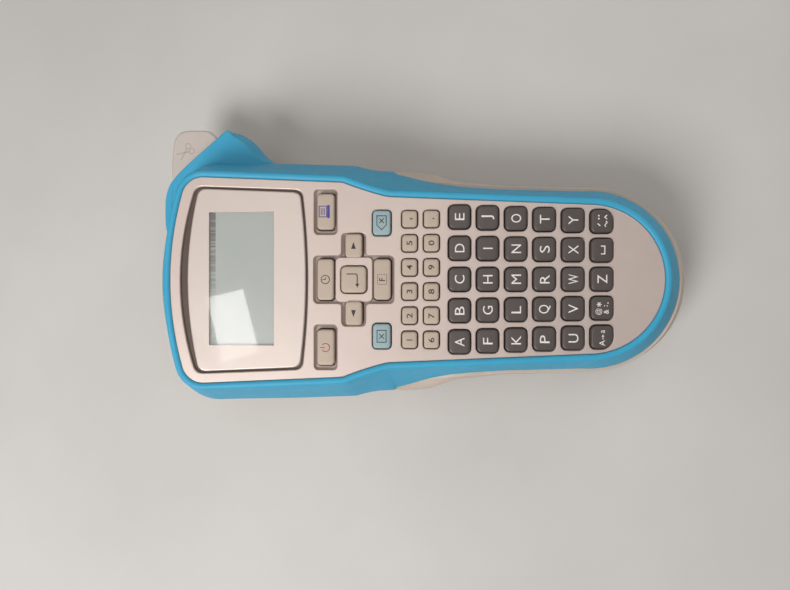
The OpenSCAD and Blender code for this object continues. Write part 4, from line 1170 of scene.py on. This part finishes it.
def front_panel():
    """Silver panel with sunk fields round some keys, and the groove that the lens lies in."""
    place = {"power_key": "power", "print_key": "print", "enter_key": "island"}
    place |= dict.fromkeys(["clock_key", "left_key", "right_key", "function_key"], "cross")
    by_sink = {"power": [], "print": [], "cross": [], "island": [], "face": []}
    for name, keys in KEYS.items():
        by_sink[place.get(name, "face")] += keys
    sinks = {
        name: plain_loop(*(KEYS[f"{name}_key"][0].at + [0, 0.2]), 16.4, 8.6, 1.6)
        for name in ("power", "print")
    }
    sinks["cross"] = cross_loop
    enter = KEYS["enter_key"][0]
    island = plain_loop(*enter.at, 15.6, 13.0, 1.6)
    back = -PANEL_T

    def groove(grow):
        return lens_at(0.75 + grow, 1.9)

    parts, recess = [], []
    face_holes = [key_loop(k)(EDGE) for k in by_sink["face"]]
    face_holes += [f(BREAK) for f in sinks.values()] + [groove(EDGE)]
    parts.append(flat_fill([outline(-EDGE)], face_holes, 0.0))
    parts.append(soft_edge(lambda grow: outline(-grow), 0.0, back))
    for key in by_sink["face"]:
        parts.append(soft_edge(key_loop(key), 0.0, back))
    for name, loop in sinks.items():
        parts.append(strips([loop(g) for g in (BREAK, SOFT, -0.05)], [0.0, -SOFT, -BREAK]))
        slope = [loop(g) for g in (-0.05, -SINK_SLOPE * 0.8, -SINK_SLOPE)]
        recess.append(strips(slope, [-BREAK, SINK + 0.08, SINK]))
        holes = [key_loop(k)(EDGE) for k in by_sink[name]]
        if name == "cross":
            holes.append(island(0.5))
            slope = [island(g) for g in (0.5, 0.4, 0.1)]
            recess.append(strips(slope, [SINK, SINK + 0.08, -BREAK]))
            parts.append(strips([island(g) for g in (0.1, 0.0, -0.1)], [-BREAK, -SOFT, 0.0]))
            parts.append(flat_fill([island(-0.1)], [key_loop(enter)(EDGE)], 0.0))
            parts.append(soft_edge(key_loop(enter), 0.0, back))
        recess.append(flat_fill([loop(-SINK_SLOPE)], holes, SINK))
        for key in by_sink[name]:
            recess.append(soft_edge(key_loop(key), SINK, back))
    parts.append(soft_edge(groove, 0.0, -1.5))
    piece("front_panel_skin", merged(parts), SILVER, "case", "silver_panel", ["front_panel"], 50)
    # The sunk fields' slopes and floors carry the darker silver as painted shade.
    piece("key_recess_skin", merged(recess), SHADED_RECESS_PAINT, "case", "silver_panel", (), 50)
    # A dark sheet on the groove floor beside the lens, standing in for the groove's shadow.
    groove_floor = strips([groove(0.05), lens_at(-0.4)], [-0.95, -0.95])
    piece("lens_groove_floor", groove_floor, GROOVE_SHADOW, "case", "silver_panel")


front_panel()

# ---- lens and display

module_low, module_high = face_box("lcd_module")
LCD_Y = (module_low[1] + module_high[1]) / 2
LCD_W, LCD_D = 48.2, 24.0


def lens():
    """The lens's painted border, its clear pane and the display's field beneath."""
    top, field_top, r = -0.05, -1.15, 0.45
    middle = (0.4, LCD_Y - 0.1)
    opening = plain_loop(*middle, LCD_W, LCD_D, 0.3)(0)
    field = plain_loop(*middle, LCD_W + 0.6, LCD_D + 0.6, 0.3)(0)
    turns = np.linspace(0, math.pi / 2, 5)
    loops = [lens_at(-0.05), *[lens_at(-0.05 - r * (1 - math.cos(a))) for a in turns]]
    heights = [-1.4, *[top - r + r * math.sin(a) for a in turns]]
    border = [strips(loops, heights), flat_fill([loops[-1]], [opening], top)]
    border.append(strips([opening, opening], [top, -1.25]))
    piece("lens_border", merged(border), MASK, "case", "lens", ["display_window"], 40)
    piece("display_cover_pane", prism(opening, -0.35, -0.07), pane_material(), "case", "lens")
    low, high = to_row(level([opening.min(0), opening.max(0)], field_top)) * 1000
    plate = prism(field, -1.7, field_top)
    piece("display_field_plate", plate, display_material(low, high), "case", "display")


lens()

# ---- screws


def screws():
    """Pan heads with a cross recess, at the bottom of their wells."""
    head, head_top, corners = circle(2.55, steps=40), 1.25, []
    arm = [(0.4, 1.4, 0.1), (-0.4, 1.4, 0.1), (-0.4, 0.4, 0.2)]
    for _ in range(4):
        corners += arm
        arm = [(-y, x, r) for x, y, r in arm]
    cross = fillet(corners, 2)
    parts = []
    for at in SCREWS:
        z = float(floor_z(at[1]))
        dome = ((1, 2.9), (1, 1.7), (0.93, 1.35), (0.8, head_top))
        parts.append(loft([level(head * k + at, z + h) for k, h in dome]))
        parts.append(flat_fill([head * 0.8 + at], [cross + at], z + head_top))
        recess = [level(cross + at, z + head_top), level(cross * 0.8 + at, z + 2.2)]
        verts, faces = loft(recess)
        parts.append((verts, faces + [cap(recess, 1)]))
        parts.append(prism(circle(0.98, steps=20, at=at), z + 2.5, z + 12))
    steel = INNER["ground_steel"]
    piece("case_screw_heads", merged(parts), steel, "case", "ground_steel", ["case_screws"])


screws()

# ---- floor, light and camera


def stage_floor():
    """Pale paper, a hair below what the object stands on."""
    half = 1.6
    mesh = bpy.data.meshes.new("floor")
    verts = [(-half, -half, 0), (half, -half, 0), (half, half, 0), (-half, half, 0)]
    mesh.from_pydata(verts, [], [(0, 1, 2, 3)])
    floor = bpy.data.objects.new("floor", mesh)
    bpy.context.scene.collection.objects.link(floor)
    m = Nodes("floor_paper")
    base = m.ramp(m.noise(0.01, 3), [(0.3, (0.56, 0.55, 0.54)), (0.7, (0.61, 0.60, 0.59))])
    floor.data.materials.append(m.set(Base_Color=base, Roughness=m.span(m.noise(0.2), 0.7, 0.85)))
    floor.location.z = -0.0002


stage_floor()


def area_light(name, at, aim, size, power, color):
    lamp = bpy.data.lights.new(name, "AREA")
    lamp.shape, lamp.size, lamp.size_y = "RECTANGLE", size[0], size[1]
    lamp.energy, lamp.color = power, color
    obj = bpy.data.objects.new(name, lamp)
    bpy.context.scene.collection.objects.link(obj)
    obj.location = at
    obj.rotation_mode = "QUATERNION"
    obj.rotation_quaternion = (Vector(aim) - Vector(at)).to_track_quat("-Z", "Y")
    obj.visible_camera = False


WARM, WHITE = (1.0, 0.93, 0.86), (1.0, 0.98, 0.95)
area_light("key_light", (-0.34, 0.24, 0.55), (0, 0, 0.03), (0.30, 0.30), 3.4, WHITE)
area_light("fill_light", (0.15, 0.10, 1.0), (0, 0, 0.03), (0.7, 0.7), 2.0, WARM)
area_light("side_light", (0.50, -0.40, 0.32), (0, -0.02, 0.02), (0.5, 0.4), 1.2, WHITE)
window, display = to_row((-47, 268, 600)), to_row((-8, 60, 0))
area_light("window_light", window, display, (0.09, 0.05), 0.05, WHITE)

world = bpy.data.worlds.new("studio")
bpy.context.scene.world = world
world.use_nodes = True
world.node_tree.nodes["Background"].inputs["Color"].default_value = (0.95, 0.94, 0.92, 1)
world.node_tree.nodes["Background"].inputs["Strength"].default_value = 0.16

EYE_AT, EYE_LEAN, FOCAL = (-5.5, -8.6, 215.4), 3.8, 27.7
camera = bpy.data.cameras.new("camera")
camera.sensor_width, camera.lens = 36, FOCAL
camera.clip_start, camera.clip_end = 0.01, 10
eye = bpy.data.objects.new("camera", camera)
bpy.context.scene.collection.objects.link(eye)
lean = math.radians(EYE_LEAN)
right = TURN @ np.array([0, -math.cos(lean), -math.sin(lean)])
back = TURN @ np.array([0, -math.sin(lean), math.cos(lean)])
up = TURN @ np.array([1.0, 0, 0])
place = Matrix.Identity(4)
for i, column in enumerate((right, up, back, to_row(EYE_AT))):
    for row in range(3):
        place[row][i] = float(column[row])
eye.matrix_world = place
bpy.context.scene.camera = eye
bpy.context.scene.view_settings.view_transform = "Standard"

bpy.context.view_layer.update()
